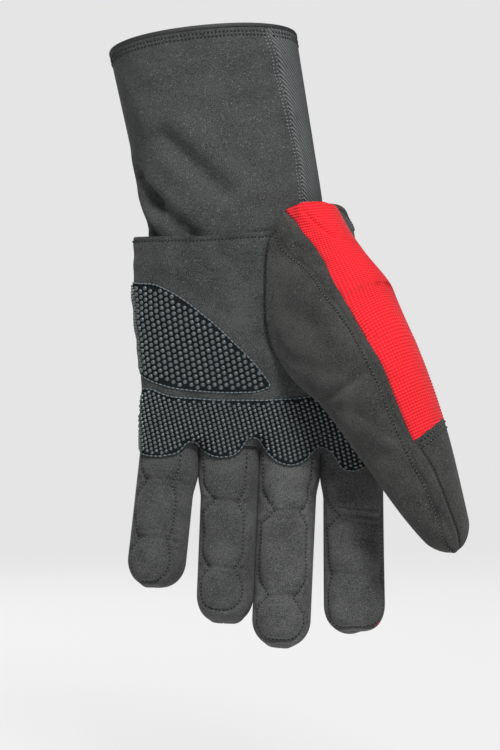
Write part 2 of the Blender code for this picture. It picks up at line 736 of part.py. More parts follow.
def finger_joints(name):
    """Root, middle and end joints of a finger."""
    sleeve = FINGERS[name]
    return (
        Joint(name + "_root", sleeve, 0.0, ROOT_OPEN, ROOT_BEND[name], AXIS_FORWARD),
        Joint(name + "_middle", sleeve, MIDDLE_JOINT[name], MIDDLE_OPEN, MIDDLE_BEND, AXIS_FORWARD),
        Joint(name + "_end", sleeve, END_JOINT[name], END_OPEN, END_BEND, AXIS_FORWARD),
    )


def build_finger(name, hand_pivot):
    """Three stall sections, the folds between them and the fleece stall inside."""
    sleeve = FINGERS[name]
    root, middle, end = finger_joints(name)
    base = empty(root.name, root.place()[0], hand_pivot)
    shank = empty(middle.name, middle.place()[0], base)
    tip = empty(end.name, end.place()[0], shank)
    split_tube(name + "_base", sleeve, root.edge(1), middle.edge(-1), base)
    split_tube(name + "_middle", sleeve, middle.edge(1), end.edge(-1), shank)
    split_tube(name + "_tip", sleeve, end.edge(1), level(sleeve.length), tip, 1, dome=True)
    fold(name + "_middle_fold", middle, FINGER_RING, base)
    fold(name + "_end_fold", end, FINGER_RING, shank)
    panel(name + "_lining", sleeve, FINGER_RING[::2], level(0), level(sleeve.length), FLEECE, BLACK_FLEECE,
          base, LINING_ROWS, inset=SUEDE + LINING_GAP, dome=True)


def thumb_joints():
    """The thumb's spread at its crease and its bend at the knuckle."""
    crease = THUMB.knots[3]
    knuckle = THUMB.knots[4]
    return (
        Joint("thumb_root", THUMB, crease, THUMB_OPEN, THUMB_SPREAD, THUMB_AXIS_SIDE, closing=0),
        Joint("thumb_end", THUMB, knuckle, THUMB_TIP_OPEN, THUMB_TIP_BEND, AXIS_FORWARD),
    )


def build_thumb(hand_pivot):
    """Saddle and band on the hand, then the thumb's two sections, folds and lining."""
    root, end = thumb_joints()
    base = empty(root.name, root.place()[0], hand_pivot)
    tip = empty(end.name, end.place()[0], base)
    gap = seam_angle(THUMB, THUMB.knots[3], SEAM)
    band = np.clip(THUMB_BAND, THUMB_BAND_FROM + gap, THUMB_BAND_TO - gap)
    front = np.clip(THUMB_FRONT, THUMB_BAND_TO + gap, FULL_TURN + THUMB_BAND_FROM - gap)
    half = SEAM / 2
    top = level(0)
    bottom = level(THUMB.length)
    saddle = panel("thumb_saddle", THUMB, front, top, root.edge(-1), SUEDE, DARK_SUEDE, hand_pivot,
                   SADDLE_ROWS)
    side = panel("thumb_saddle_band", THUMB, band, top, root.edge(-1), KNIT, RED_KNIT, hand_pivot,
                 SADDLE_ROWS)
    panel("thumb_base_front", THUMB, front, root.edge(1), end.edge(-1), SUEDE, DARK_SUEDE, base)
    panel("thumb_base_band", THUMB, band, root.edge(1), end.edge(-1), KNIT, RED_KNIT, base)
    panel("thumb_tip_front", THUMB, THUMB_FRONT, end.edge(1), bottom, SUEDE, DARK_SUEDE, tip,
          nudge=half, dome=True)
    panel("thumb_tip_cap", THUMB, THUMB_BAND, end.edge(1), bottom, SUEDE, DARK_SUEDE, tip,
          nudge=-half, dome=True)
    crease_fold = fold("thumb_root_fold", root, THUMB_RING, hand_pivot)
    fold("thumb_end_fold", end, THUMB_RING, base)
    lining = panel("thumb_lining", THUMB, THUMB_RING[::2], top, bottom, FLEECE, BLACK_FLEECE, base,
                   SADDLE_ROWS, inset=SUEDE + THUMB_LINING_GAP, dome=True)
    hand_block = hide(plug("hand_block", HAND, level(-ROOT_ALLOWANCE), level(KNUCKLES), BLOCK_ROWS,
                           WEB_COLUMNS, hand_pivot, inset=-SEAM))
    for thing in (saddle, side, crease_fold, lining):
        cut(thing, hand_block)
    return hide(plug("thumb_hollow", THUMB, top, root.edge(1), SADDLE_ROWS + 1, THUMB_HOLLOW_COLUMNS,
                     hand_pivot, inset=SUEDE))


def main():
    """Builds the glove and hangs each body on its pivot."""
    cuff_pivot = empty("cuff", (0, 0, 0))
    build_cuff(cuff_pivot)
    wrist = empty("wrist", (WRIST_X, 0, -HAND_TOP - PALM_HEM / 2), cuff_pivot)
    build_gaiter(wrist)
    palm, back, yoke, lining = build_hand(wrist)
    for name in FINGER_NAMES:
        build_finger(name, wrist)
    hollow = build_thumb(wrist)
    for thing in (palm, lining, yoke, back):
        cut(thing, hollow)


main()
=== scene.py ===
# %% [markdown]
# # A left-hand ski glove, hung with its fingers down
# The glove is sewn from flat panels: suede on the palm, red rib knit on the back, a softshell cuff
# and two dotted rubber patches.  This lesson dresses the imported glove with those panels.  The glove
# is read first, and some panels hang from an empty named after the body they lie on.

# %% Load the imported glove
import math

import bmesh
import bpy
import numpy as np
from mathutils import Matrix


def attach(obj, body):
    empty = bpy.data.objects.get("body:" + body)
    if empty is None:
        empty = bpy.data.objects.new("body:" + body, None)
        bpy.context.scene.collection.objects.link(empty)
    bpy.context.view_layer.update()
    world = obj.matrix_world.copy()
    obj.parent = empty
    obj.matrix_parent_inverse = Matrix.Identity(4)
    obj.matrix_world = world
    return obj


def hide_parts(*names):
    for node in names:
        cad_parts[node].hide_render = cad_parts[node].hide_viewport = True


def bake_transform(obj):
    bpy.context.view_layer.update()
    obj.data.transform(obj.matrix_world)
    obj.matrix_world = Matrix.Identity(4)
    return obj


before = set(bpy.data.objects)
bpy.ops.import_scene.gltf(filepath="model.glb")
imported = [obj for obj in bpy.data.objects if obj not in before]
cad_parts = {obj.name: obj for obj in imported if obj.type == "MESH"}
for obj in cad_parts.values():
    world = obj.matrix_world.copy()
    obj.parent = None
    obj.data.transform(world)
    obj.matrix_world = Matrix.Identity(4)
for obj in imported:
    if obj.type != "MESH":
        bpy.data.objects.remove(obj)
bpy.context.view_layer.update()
MM = 0.001

# %% [markdown]
# ## The camera and the lamps
# The picture is taken square on to the palm with a long lens, so the camera looks level along +Y and
# a pixel is 0.45 mm at the palm.  A small key lamp high on the right models the folds, a weak fill
# opens the left side, and a lamp behind the glove draws its rim.

# %% Camera
CAMERA_PLACE = (0.020925, -1.1, -0.14805)
LENS = 117.33
SENSOR = 36.0
NEAREST = 0.01

camera_data = bpy.data.cameras.new("camera")
camera_data.lens = LENS
camera_data.sensor_width = SENSOR
camera_data.sensor_fit = "AUTO"
camera_data.clip_start = NEAREST
camera = bpy.data.objects.new("camera", camera_data)
bpy.context.collection.objects.link(camera)
camera.location = CAMERA_PLACE
camera.rotation_euler = (math.pi / 2, 0, 0)
bpy.context.scene.camera = camera
bpy.context.scene.view_settings.view_transform = "Standard"
print("camera at", CAMERA_PLACE)

# %% Lamps
GLOVE_MIDDLE = (0.03, -0.01, -0.13)
LAMPS = {
    "key_lamp": {"place": (0.2, -0.76, 0.58), "size": 0.3, "power": 11.0},
    "fill_lamp": {"place": (-0.8, -0.6, 0.2), "size": 0.8, "power": 0.8},
    "back_lamp": {"place": (-0.3, 0.9, 0.5), "size": 0.8, "power": 9.0},
}


def add_lamp(name, place, size, power):
    """A square soft lamp at place that faces the glove."""
    data = bpy.data.lights.new(name, "AREA")
    data.shape = "SQUARE"
    data.size = size
    data.energy = power
    lamp = bpy.data.objects.new(name, data)
    bpy.context.collection.objects.link(lamp)
    away = np.array(place) - np.array(GLOVE_MIDDLE)
    pitch = math.acos(away[2] / np.linalg.norm(away))
    turn = math.atan2(away[0], -away[1])
    lamp.location = place
    lamp.rotation_euler = (pitch, 0, turn)


for name, settings in LAMPS.items():
    add_lamp(name, **settings)
print("lamps", list(LAMPS))

# %% [markdown]
# ## Materials as sums
# A cloth's colour is a few patterns added and multiplied.  Writing that as nodes by hand hides the
# sum, so a small class wraps a socket: adding or multiplying two of them adds a Math node.

# %% Shader values


class Value:
    """A number that varies over a surface; sums and products of values become Math nodes."""

    def __init__(self, nodes, socket):
        self.nodes = nodes
        self.socket = socket

    def math(self, operation, *numbers):
        """A Math node on these numbers, in order."""
        sockets = dict(enumerate(numbers))
        made = self.nodes.node("ShaderNodeMath", {"operation": operation}, sockets)
        return Value(self.nodes, made.outputs[0])

    def __add__(self, other):
        return self.math("ADD", self, other)

    def __sub__(self, other):
        return self.math("SUBTRACT", self, other)

    def __rsub__(self, other):
        return self.math("SUBTRACT", other, self)

    def __mul__(self, other):
        return self.math("MULTIPLY", self, other)

    __radd__ = __add__
    __rmul__ = __mul__

    def sine(self):
        return self.math("SINE", self)

    def cosine(self):
        return self.math("COSINE", self)

    def below(self, limit):
        return self.math("LESS_THAN", self, limit)

    def above(self, limit):
        return self.math("GREATER_THAN", self, limit)


class Nodes:
    """A node tree: node() adds any node, and feed() links or fills a socket."""

    def __init__(self, tree):
        self.tree = tree

    def node(self, kind, settings, sockets):
        """A node of this type, with its settings made first and then its sockets fed."""
        made = self.tree.nodes.new(kind)
        for setting, choice in settings.items():
            setattr(made, setting, choice)
        for socket, source in sockets.items():
            self.feed(made.inputs[socket], source)
        return made

    def feed(self, socket, source):
        """Links a value or an output to a socket, or writes a plain number there."""
        if isinstance(source, Value):
            source = source.socket
        if isinstance(source, bpy.types.NodeSocket):
            self.tree.links.new(source, socket)
        else:
            socket.default_value = source

    def show_camera(self, plain, shown, share):
        """Shows the camera one shader, by this share, while every other ray meets the plain one."""
        rays = self.node("ShaderNodeLightPath", {}, {})
        seen = Value(self, rays.outputs["Is Camera Ray"]) * share
        both = self.node("ShaderNodeMixShader", {}, {0: seen, 1: plain, 2: shown})
        outlet = next(node for node in self.tree.nodes if "ShaderNodeOutput" in node.bl_idname)
        self.feed(outlet.inputs["Surface"], both.outputs[0])


class Finish(Nodes):
    """A material, whose named makers return values and colours."""

    def __init__(self, name, roughness, **constants):
        self.material = bpy.data.materials.new(name)
        self.material.use_nodes = True
        super().__init__(self.material.node_tree)
        self.shader = self.tree.nodes["Principled BSDF"]
        self.shader.inputs["Roughness"].default_value = roughness
        for socket, number in constants.items():
            self.shader.inputs[socket.replace("_", " ")].default_value = number

    def place(self):
        """The point on the piece, in metres."""
        return self.node("ShaderNodeTexCoord", {}, {}).outputs["Object"]

    def along_cloth(self):
        """Distances round and along the cloth, in metres, from the piece's own UV map."""
        uv = self.node("ShaderNodeUVMap", {"uv_map": "cloth"}, {}).outputs[0]
        parts = self.node("ShaderNodeSeparateXYZ", {}, {0: uv})
        return Value(self, parts.outputs[0]), Value(self, parts.outputs[1])

    def noise(self, scale, detail=2.0, rough=0.5):
        """Soft cloudy values between 0 and 1, scale cells to a metre."""
        sockets = {"Vector": self.place(), "Scale": scale, "Detail": detail, "Roughness": rough}
        return Value(self, self.node("ShaderNodeTexNoise", {}, sockets).outputs[0])

    def specks(self, scale, size):
        """1 inside small round specks, scale of them to a metre."""
        sockets = {"Vector": self.place(), "Scale": scale}
        made = self.node("ShaderNodeTexVoronoi", {}, sockets)
        return Value(self, made.outputs["Distance"]).below(size)

    def mix(self, share, one, other):
        """A colour between one, at share 0, and other, at share 1."""
        sockets = {0: share, 6: self.colour(one), 7: self.colour(other)}
        made = self.node("ShaderNodeMix", {"data_type": "RGBA"}, sockets)
        return made.outputs[2]

    @staticmethod
    def colour(source):
        return (*source, 1.0) if isinstance(source, tuple) else source

    def paint(self, colour):
        self.feed(self.shader.inputs["Base Color"], self.colour(colour))

    def emboss(self, height, depth):
        """Bumps the surface by height, 0 to 1, times depth in metres."""
        sockets = {"Height": height, "Distance": depth, "Strength": 1.0}
        bump = self.node("ShaderNodeBump", {}, sockets)
        self.feed(self.shader.inputs["Normal"], bump.outputs[0])


print("shader helpers ready")

# %% [markdown]
# ## Suede, softshell, twill, knit, rubber and thread
# Suede is a nap of short fibres: a fine grain, broad patches where the nap lies another way, and
# a few light specks of lint.  Softshell is smoother with a finer speckle.  The twill's diagonal
# lines and the knit's loops follow the cloth, so they read the piece's own map.

# %% Finishes


def tint(colour, share):
    """A colour made lighter or darker."""
    return tuple(channel * share for channel in colour)


GRAIN_CONTRAST = 3.4
DARK_NAP = 0.45
LIGHT_NAP = 1.55
LINT = (0.3, 0.31, 0.31)
LINT_SHARE = 0.3


def brush(finish, colour, grain, patch, patchiness, flecks):
    """Paints short fibres: grain and patches, centred on the colour, with flecks of lint."""
    centre = (GRAIN_CONTRAST + patchiness - 1) / 2
    nap = grain * GRAIN_CONTRAST + patch * patchiness - centre
    body = finish.mix(nap, tint(colour, DARK_NAP), tint(colour, LIGHT_NAP))
    finish.paint(finish.mix(flecks * LINT_SHARE, body, LINT))


def suede(name, colour):
    """Napped leather: fine grain on broad soft patches."""
    finish = Finish(name, 0.92, Sheen_Weight=0.12, Sheen_Roughness=0.5, Specular_IOR_Level=0.25)
    grain = finish.noise(scale=2000, rough=0.6)
    flecks = finish.specks(scale=520, size=0.16) * finish.noise(scale=260).above(0.55)
    brush(finish, colour, grain, finish.noise(scale=70), 1.2, flecks)
    finish.emboss(grain, 0.5 * MM)
    return finish.material


def softshell(name, colour):
    """Smooth woven face with a fine light speckle."""
    finish = Finish(name, 0.85, Sheen_Weight=0.08, Specular_IOR_Level=0.3)
    grain = finish.noise(scale=2200, rough=0.6)
    flecks = finish.specks(scale=700, size=0.2) * finish.noise(scale=300).above(0.5)
    brush(finish, colour, grain, finish.noise(scale=45), 0.8, flecks)
    finish.emboss(grain, 0.3 * MM)
    return finish.material


TWILL_PITCH = 1.7 * MM
TWILL_SLOPE = 0.8


def twill(name, colour):
    """Diagonal lines, one in every pitch of cloth."""
    finish = Finish(name, 0.75, Specular_IOR_Level=0.35)
    around, along = finish.along_cloth()
    turn = (around + along * TWILL_SLOPE) * (2 * math.pi / TWILL_PITCH)
    lines = turn.sine() * 0.5 + 0.5
    share = lines * 0.7 + finish.noise(scale=1800) * 0.3
    finish.paint(finish.mix(share, tint(colour, 0.3), tint(colour, 1.6)))
    finish.emboss(lines, 0.35 * MM)
    return finish.material


RIB_PITCH = 1.25 * MM
LOOP_PITCH = 1.15 * MM
# light pink of the painted highlight on the knit's loops
LOOP_PAINTED_HIGHLIGHT = (1.0, 0.1, 0.12)


def rib_knit(name, colour):
    """Ribs across the cloth, dotted with loops; painted shade darkens the hollows between ribs, and a
    painted highlight lightens the loops' tops.
    """
    finish = Finish(name, 0.85, Sheen_Weight=0.15, Specular_IOR_Level=0.25)
    around, along = finish.along_cloth()
    rib = (along * (2 * math.pi / RIB_PITCH)).cosine()
    loop = (around * (2 * math.pi / LOOP_PITCH)).sine()
    height = rib * 0.35 + loop * 0.15 + 0.5
    # painted shade: the colour is darker where the ribs and loops are low
    share = height + finish.noise(scale=700) * 0.3 - 0.15
    body = finish.mix(share, tint(colour, 0.8), tint(colour, 1.04))
    # painted highlight: the tops of ribs and loops are mixed towards a light pink
    top = (rib * 0.5 + 0.5) * (loop * 0.5 + 0.5)
    finish.paint(finish.mix(top * top * 0.6, body, LOOP_PAINTED_HIGHLIGHT))
    finish.emboss(height, 0.25 * MM)
    return finish.material


def rubber(name, colour, roughness, gloss):
    """Moulded rubber with a dusty bloom."""
    finish = Finish(name, roughness, Specular_IOR_Level=gloss)
    bloom = finish.noise(scale=900, detail=3.0)
    finish.paint(finish.mix(bloom, tint(colour, 0.7), tint(colour, 1.3)))
    finish.emboss(bloom, 0.05 * MM)
    return finish.material


def thread(name, colour, painted_glint=1.5):
    """Twisted sewing thread, whose plies are painted lighter here and there: painted glints."""
    finish = Finish(name, 0.6, Specular_IOR_Level=0.4)
    ply = finish.noise(scale=2500, detail=1.0)
    # painted highlight: the ply noise lightens the thread into small glints
    finish.paint(finish.mix(ply * 3 - 1, tint(colour, 0.6), tint(colour, painted_glint)))
    finish.emboss(ply, 0.1 * MM)
    return finish.material


def fleece(name, colour):
    """Short black pile."""
    finish = Finish(name, 0.95, Sheen_Weight=0.2)
    pile = finish.noise(scale=900, detail=4.0, rough=0.7)
    finish.paint(finish.mix(pile, tint(colour, 0.5), tint(colour, 1.8)))
    finish.emboss(pile, 0.8 * MM)
    return finish.material


PALM_SUEDE = suede("palm_suede", (0.056, 0.059, 0.058))
FINGER_SUEDE = {
    "little": suede("little_suede", (0.066, 0.068, 0.067)),
    "ring": suede("ring_suede", (0.07, 0.072, 0.071)),
    "middle": suede("middle_suede", (0.09, 0.092, 0.091)),
    "index": suede("index_suede", (0.08, 0.082, 0.081)),
}
THUMB_SUEDE = suede("thumb_suede", (0.048, 0.049, 0.047))
CUFF_SOFTSHELL = softshell("cuff_softshell", (0.055, 0.058, 0.057))
CUFF_TWILL = twill("cuff_twill", (0.11, 0.116, 0.118))
RED_KNIT = rib_knit("red_knit", (0.96, 0.01, 0.022))
PATCH_RUBBER = rubber("patch_rubber", (0.008, 0.01, 0.011), 0.85, 0.15)
DOT_RUBBER = rubber("dot_rubber", (0.075, 0.09, 0.092), 0.22, 1.0)
# the dark thread's plies carry strong painted glints
DARK_THREAD = thread("dark_thread", (0.008, 0.008, 0.008), painted_glint=2.5)
# grey thread on the cuff's seam; on the pads and the thumb its short stitches are painted highlights
GREY_AND_GLINT_THREAD = thread("grey_and_glint_thread", (0.15, 0.155, 0.155))
EDGE_THREAD = thread("edge_thread", (0.15, 0.185, 0.2))
LINING_FLEECE = fleece("lining_fleece", (0.02, 0.02, 0.022))
RIM_TAPE = thread("rim_tape", (0.03, 0.031, 0.032))
print("finishes", len(bpy.data.materials))

# %% [markdown]
# ## Soft tubes
# Every panel was cut to lie on a hand: the cuff, the palm, each finger and the thumb are tubes with
# an oval section.  A tube is a formula in two numbers: v runs along it and u goes round it, 0 at the
# thumb's side, 90 at the palm, 180 at the little finger's side and 270 at the back.  Seams, creases
# and puffed pads are a height above that skin, so neighbouring panels always meet.

# %% Tube formula


def spline(knots, values, at):
    """Cubic curve through values at knots, with slopes taken from neighbouring knots."""
    knots = np.asarray(knots, float)
    values = np.asarray(values, float)
    at = np.asarray(at, float)
    slopes = np.gradient(values, knots, axis=0)
    left = np.clip(np.searchsorted(knots, at, side="right") - 1, 0, len(knots) - 2)
    span = knots[left + 1] - knots[left]
    t = (at - knots[left]) / span
    if values.ndim > 1:
        span = span[..., None]
        t = t[..., None]
    start = values[left] * (2 * t**3 - 3 * t**2 + 1) + slopes[left] * span * (t**3 - 2 * t**2 + t)
    return start + values[left + 1] * (3 * t**2 - 2 * t**3) + slopes[left + 1] * span * (t**3 - t**2)


def unit(vectors):
    """Vectors scaled to length 1."""
    return vectors / np.maximum(np.linalg.norm(vectors, axis=-1, keepdims=True), 1e-12)


def smooth(low, high, x):
    """0 below low, 1 above high and a smooth step between."""
    t = np.clip((x - low) / (high - low), 0, 1)
    return t * t * (3 - 2 * t)


class Tube:
    """A soft tube: an oval section carried along a smooth centreline.

    A point is centre + across * thumbward + through * palmward, where across is cos u times the half
    width, and through is the sign of sin u times (1 - |cos u|^m)^(1/m) times the half depth.  Round a
    closed tip, v goes on as an arc: s = shoulder + r sin(turn), and the section shrinks by
    cos(turn)^bluntness.
    """

    STEP = 0.2 * MM
    POLE = 0.4 * MM

    def __init__(self, knots, centres, widths, depths, squareness, facing,
                 heading=None, tip=0.0, bluntness=0.8):
        self.knots = np.array(knots) * MM
        self.centres = np.array(centres) * MM
        self.sizes = np.stack([widths, depths], axis=-1) / 2 * MM
        self.squareness = np.broadcast_to(np.array(squareness, float), self.knots.shape)
        self.facing = np.array(facing, float)
        self.heading = heading
        self.tip = tip * MM
        self.bluntness = bluntness
        self.shoulder = self.knots[-1] - self.tip
        self.end = self.shoulder + self.tip * math.pi / 2
        self.pinch = None
        self.settle = None
        self.relief = lambda v, u: 0.0 * v

    def axial(self, v):
        """Distance along the centreline, and how far the section has closed."""
        if not self.tip:
            return v, np.ones_like(v)
        turn = np.clip((v - self.shoulder) / self.tip, 0, math.pi / 2)
        s = np.minimum(v, self.shoulder) + self.tip * np.sin(turn)
        return s, np.maximum(np.cos(turn), 0) ** self.bluntness

    def path(self, s):
        """v at a distance s along the centreline."""
        if not self.tip:
            return s
        rise = np.clip((s - self.shoulder) / self.tip, 0, 1)
        return np.minimum(s, self.shoulder) + self.tip * np.arcsin(rise)

    def frame(self, s):
        """Centre, and the directions along the tube, to the palm and to the thumb."""
        centre = spline(self.knots, self.centres, s)
        ahead = spline(self.knots, self.centres, s + self.STEP)
        along = unit(ahead - spline(self.knots, self.centres, s - self.STEP))
        if self.heading:
            along = np.broadcast_to(np.array(self.heading, float), along.shape)
        palmward = unit(self.facing - np.sum(self.facing * along, axis=-1, keepdims=True) * along)
        return centre, along, palmward, np.cross(palmward, along)

    def skin(self, v, u):
        """Points of the bare tube."""
        v, u = np.broadcast_arrays(np.asarray(v, float), np.asarray(u, float))
        s, closing = self.axial(v)
        centre, along, palmward, thumbward = self.frame(s)
        half, deep = np.moveaxis(spline(self.knots, self.sizes, s), -1, 0)
        power = spline(self.knots, self.squareness, s)
        cosine = np.cos(np.radians(u))
        sine = np.sin(np.radians(u))
        across = cosine * half * closing
        through = np.sign(sine) * np.clip(1 - np.abs(cosine) ** power, 0, 1) ** (1 / power)
        through = through * deep * closing
        if self.pinch:
            through = self.pinch(s, centre[..., 0] + across, through)
        return centre + across[..., None] * thumbward + through[..., None] * palmward

    def normal(self, v, u):
        """Outward directions: the way round crossed with the way along, by small steps."""
        v = np.minimum(v, self.end - self.POLE) if self.tip else v
        around = self.skin(v, u + 0.4) - self.skin(v, u - 0.4)
        along = self.skin(v + self.STEP, u) - self.skin(v - self.STEP, u)
        return unit(np.cross(around, along))

    def lay(self, v, u, height=0.0):
        """Points of the dressed tube, raised by the relief and by height."""
        v, u = np.broadcast_arrays(np.asarray(v, float), np.asarray(u, float))
        lift = self.relief(v, u) + height
        points = self.skin(v, u) + lift[..., None] * self.normal(v, u)
        return self.settle(points, v, u, height) if self.settle else points


print("tube formula ready")

# %% [markdown]
# ## Pieces
# A panel is a grid of (v, u) between four edges, laid on its tube as an outer and an inner face with
# hems between them, so it is a closed sheet with the cloth's thickness.  Stitches, edge threads and
# dots are small shapes repeated along a path; they go into the same mesh as their panel and bend
# with it.

# %% Mesh helpers


def edge(limit, x):
    """A panel's edge, which is a number or a function of the other parameter."""
    return limit(x) if callable(limit) else np.full_like(x, limit)


def spread(top, bottom, low, high, spacing):
    """Grid of (v, u): v from top to bottom and u from low to high, settled by turns."""
    rows, columns = spacing
    p = np.linspace(0, 1, rows + 1)[:, None] * np.ones((1, columns + 1))
    q = np.linspace(0, 1, columns + 1)[None, :] * np.ones((rows + 1, 1))
    u = 90.0 + 0 * p
    for settle in range(8):
        v = edge(top, u) + p * (edge(bottom, u) - edge(top, u))
        u = edge(low, v) + q * (edge(high, v) - edge(low, v))
    return v, u


def quads(rows, columns, first=0):
    """Corner numbers of the quads of a grid whose points are numbered row by row."""
    corner = first + np.arange(rows - 1)[:, None] * columns + np.arange(columns - 1)[None, :]
    return np.stack([corner, corner + 1, corner + columns + 1, corner + columns], -1).reshape(-1, 4)


def strip(one, other):
    """Quads between two rows of point numbers."""
    return np.stack([one[:-1], other[:-1], other[1:], one[1:]], axis=-1)


def closed_faces(rows, columns):
    """Faces of a sheet made of two layers of points: its outer face, inner face and hems."""
    outer = np.arange(rows * columns).reshape(rows, columns)
    inner = outer + rows * columns
    faces = [quads(rows, columns), quads(rows, columns, rows * columns)[:, ::-1]]
    faces += [strip(outer[0], inner[0]), strip(inner[-1], outer[-1])]
    faces += [strip(inner[:, 0], outer[:, 0]), strip(outer[:, -1], inner[:, -1])]
    return faces


class Piece:
    """Gathers the points, faces, cloth map and finishes of one piece."""

    WELD = 0.001 * MM
    SHARP = math.radians(70)

    def __init__(self, name, *finishes):
        self.name = name
        self.finishes = finishes
        self.points = []
        self.maps = []
        self.faces = []
        self.slots = []
        self.count = 0

    def add(self, points, cloth_map, faces, slot):
        """Adds points with their places on the cloth, and faces that number them from 0."""
        self.points.append(points.reshape(-1, 3))
        self.maps.append(cloth_map.reshape(-1, 2))
        for group in faces:
            self.faces.extend((group + self.count).tolist())
            self.slots.append(np.full(len(group), slot))
        self.count += points.size // 3

    def sheet(self, tube, v, u, cloth, raised=0.0, weave=None):
        """A closed sheet of cloth on the grid (v, u), its outer face raised and woven."""
        lift = raised + (weave(v, u) if weave else 0.0)
        points = np.stack([tube.lay(v, u, lift), tube.lay(v, u, raised - cloth)])
        cloth_map = np.stack([tube.sizes.mean() * np.radians(u), v], axis=-1)
        self.add(points, np.stack([cloth_map, cloth_map]), closed_faces(*v.shape), 0)

    def finish(self):
        """Makes the mesh, closes its seams and poles and returns the object."""
        mesh = bpy.data.meshes.new(self.name)
        mesh.from_pydata(np.concatenate(self.points).tolist(), [], self.faces)
        layer = mesh.uv_layers.new(name="cloth")
        corners = np.zeros(len(mesh.loops), np.int32)
        mesh.loops.foreach_get("vertex_index", corners)
        layer.data.foreach_set("uv", np.concatenate(self.maps)[corners].ravel())
        slots = np.concatenate(self.slots).astype(np.int32)
        mesh.polygons.foreach_set("material_index", slots)
        for material in self.finishes:
            mesh.materials.append(material)
        bm = bmesh.new()
        bm.from_mesh(mesh)
        bmesh.ops.remove_doubles(bm, verts=bm.verts, dist=self.WELD)
        bm.to_mesh(mesh)
        bm.free()
        mesh.shade_smooth()
        mesh.set_sharp_from_angle(angle=self.SHARP)
        thing = bpy.data.objects.new(self.name, mesh)
        bpy.context.collection.objects.link(thing)
        return thing


def walk(points, pitch, start):
    """Where evenly spaced steps fall along a line of points, as positions in its list."""
    steps = np.linalg.norm(np.diff(points, axis=0), axis=1)
    reach = np.concatenate([[0], np.cumsum(steps)])
    count = max(int(reach[-1] / pitch), 1)
    return np.interp((np.arange(count) + start) * reach[-1] / count, reach, np.arange(len(points)))


STITCH_RINGS = np.array([-0.5, -0.36, 0.0, 0.36, 0.5])
STITCH_GIRTH = np.array([0.35, 0.85, 1.0, 0.85, 0.35])
STITCH_BOW = np.array([-0.9, -0.25, 0.0, -0.25, -0.9])
STITCH_SIDES = 6


def sew(piece, tube, v, u, pitch, slot, length=0.62, radius=0.42 * MM, height=0.12 * MM, start=0.5):
    """Stitches along the path (v, u): each is a short bowed capsule whose ends dive into the cloth."""
    line = tube.lay(v, u)
    at = walk(line, pitch, start)
    index = np.arange(len(v))
    v, u = np.interp(at, index, v), np.interp(at, index, u)
    middle = tube.lay(v, u, height)
    up = tube.normal(v, u)
    ahead = np.stack([np.interp(at + 0.5, index, line[:, k]) for k in range(3)], -1)
    behind = np.stack([np.interp(at - 0.5, index, line[:, k]) for k in range(3)], -1)
    along = unit(ahead - behind)
    side = unit(np.cross(along, up))
    turn = np.arange(STITCH_SIDES) * 2 * math.pi / STITCH_SIDES
    ring = side[:, None, None] * np.cos(turn)[:, None] + up[:, None, None] * np.sin(turn)[:, None]
    girth = (radius * STITCH_GIRTH)[None, :, None, None]
    axis = along[:, None] * (STITCH_RINGS * length * pitch)[:, None]
    axis = axis + up[:, None] * (STITCH_BOW * radius)[:, None]
    points = middle[:, None, None] + axis[:, :, None] + ring * girth
    count = len(v)
    rings = len(STITCH_RINGS)
    number = np.arange(count * rings * STITCH_SIDES).reshape(count, rings, STITCH_SIDES)
    beyond = np.roll(number, -1, axis=2)
    walls = [number[:, :-1], beyond[:, :-1], beyond[:, 1:], number[:, 1:]]
    faces = [np.stack(walls, -1).reshape(-1, 4)]
    faces.append(number[:, 0, ::-1])
    faces.append(number[:, -1])
    cloth_map = np.zeros((points.size // 3, 2))
    piece.add(points, cloth_map, faces, slot)


def sew_sparkling(piece, tube, v, u, pitch):
    """Dark stitches with short stitches of lighter thread between them, which stand in for glints:
    painted highlights.
    """
    sew(piece, tube, v, u, pitch, 1)
    sew(piece, tube, v, u, pitch, 2, length=0.36, radius=0.24 * MM, height=0.3 * MM, start=0.0)


DOT_SIDES = 8
DOT_RINGS = ((1.0, -0.3), (0.86, 0.5), (0.5, 0.88))


def press_dots(piece, tube, v, u, radius, rise, base, slot):
    """Round rubber dots at the places (v, u): three rings and a crown each."""
    foot = tube.lay(v, u, base)
    up = tube.normal(v, u)
    along = unit(tube.skin(v + Tube.STEP, u) - tube.skin(v - Tube.STEP, u))
    side = np.cross(along, up)
    turn = np.arange(DOT_SIDES) * 2 * math.pi / DOT_SIDES
    ring = side[:, None] * np.cos(turn)[:, None] + along[:, None] * np.sin(turn)[:, None]
    rings = []
    for wide, high in DOT_RINGS:
        rings.append(foot[:, None] + ring * radius * wide + up[:, None] * rise * high)
    crown = foot + up * rise
    points = np.concatenate([*rings, crown[:, None]], axis=1)
    count = len(v)
    number = np.arange(count * points.shape[1]).reshape(count, -1)
    faces = []
    for first in range(0, (len(DOT_RINGS) - 1) * DOT_SIDES, DOT_SIDES):
        lower = number[:, first:first + DOT_SIDES]
        upper = number[:, first + DOT_SIDES:first + 2 * DOT_SIDES]
        walls = [lower, upper, np.roll(upper, -1, 1), np.roll(lower, -1, 1)]
        faces.append(np.stack(walls, -1).reshape(-1, 4))
    last = number[:, -1 - DOT_SIDES:-1]
    top = np.repeat(number[:, -1:], DOT_SIDES, 1)
    faces.append(np.stack([last, top, np.roll(last, -1, 1)], -1).reshape(-1, 3))
    faces.append(number[:, :DOT_SIDES])
    piece.add(points, np.zeros((points.size // 3, 2)), faces, slot)


def lay_flat(thing, tube, v, u, rests_on):
    """Lays the panel's grid on the bare tube; the points are not kept."""
    points = tube.skin(v, u)


def wear(thing, slot, *nodes):
    """Hides the CAD nodes that a piece stands for."""
    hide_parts(*nodes)


def grid_size(length, width, step_along, step_round):
    """Rows and columns of a grid with steps of about this size."""
    return int(math.ceil(length / step_along)), int(math.ceil(width / step_round))


RIB_RISE = 0.13 * MM


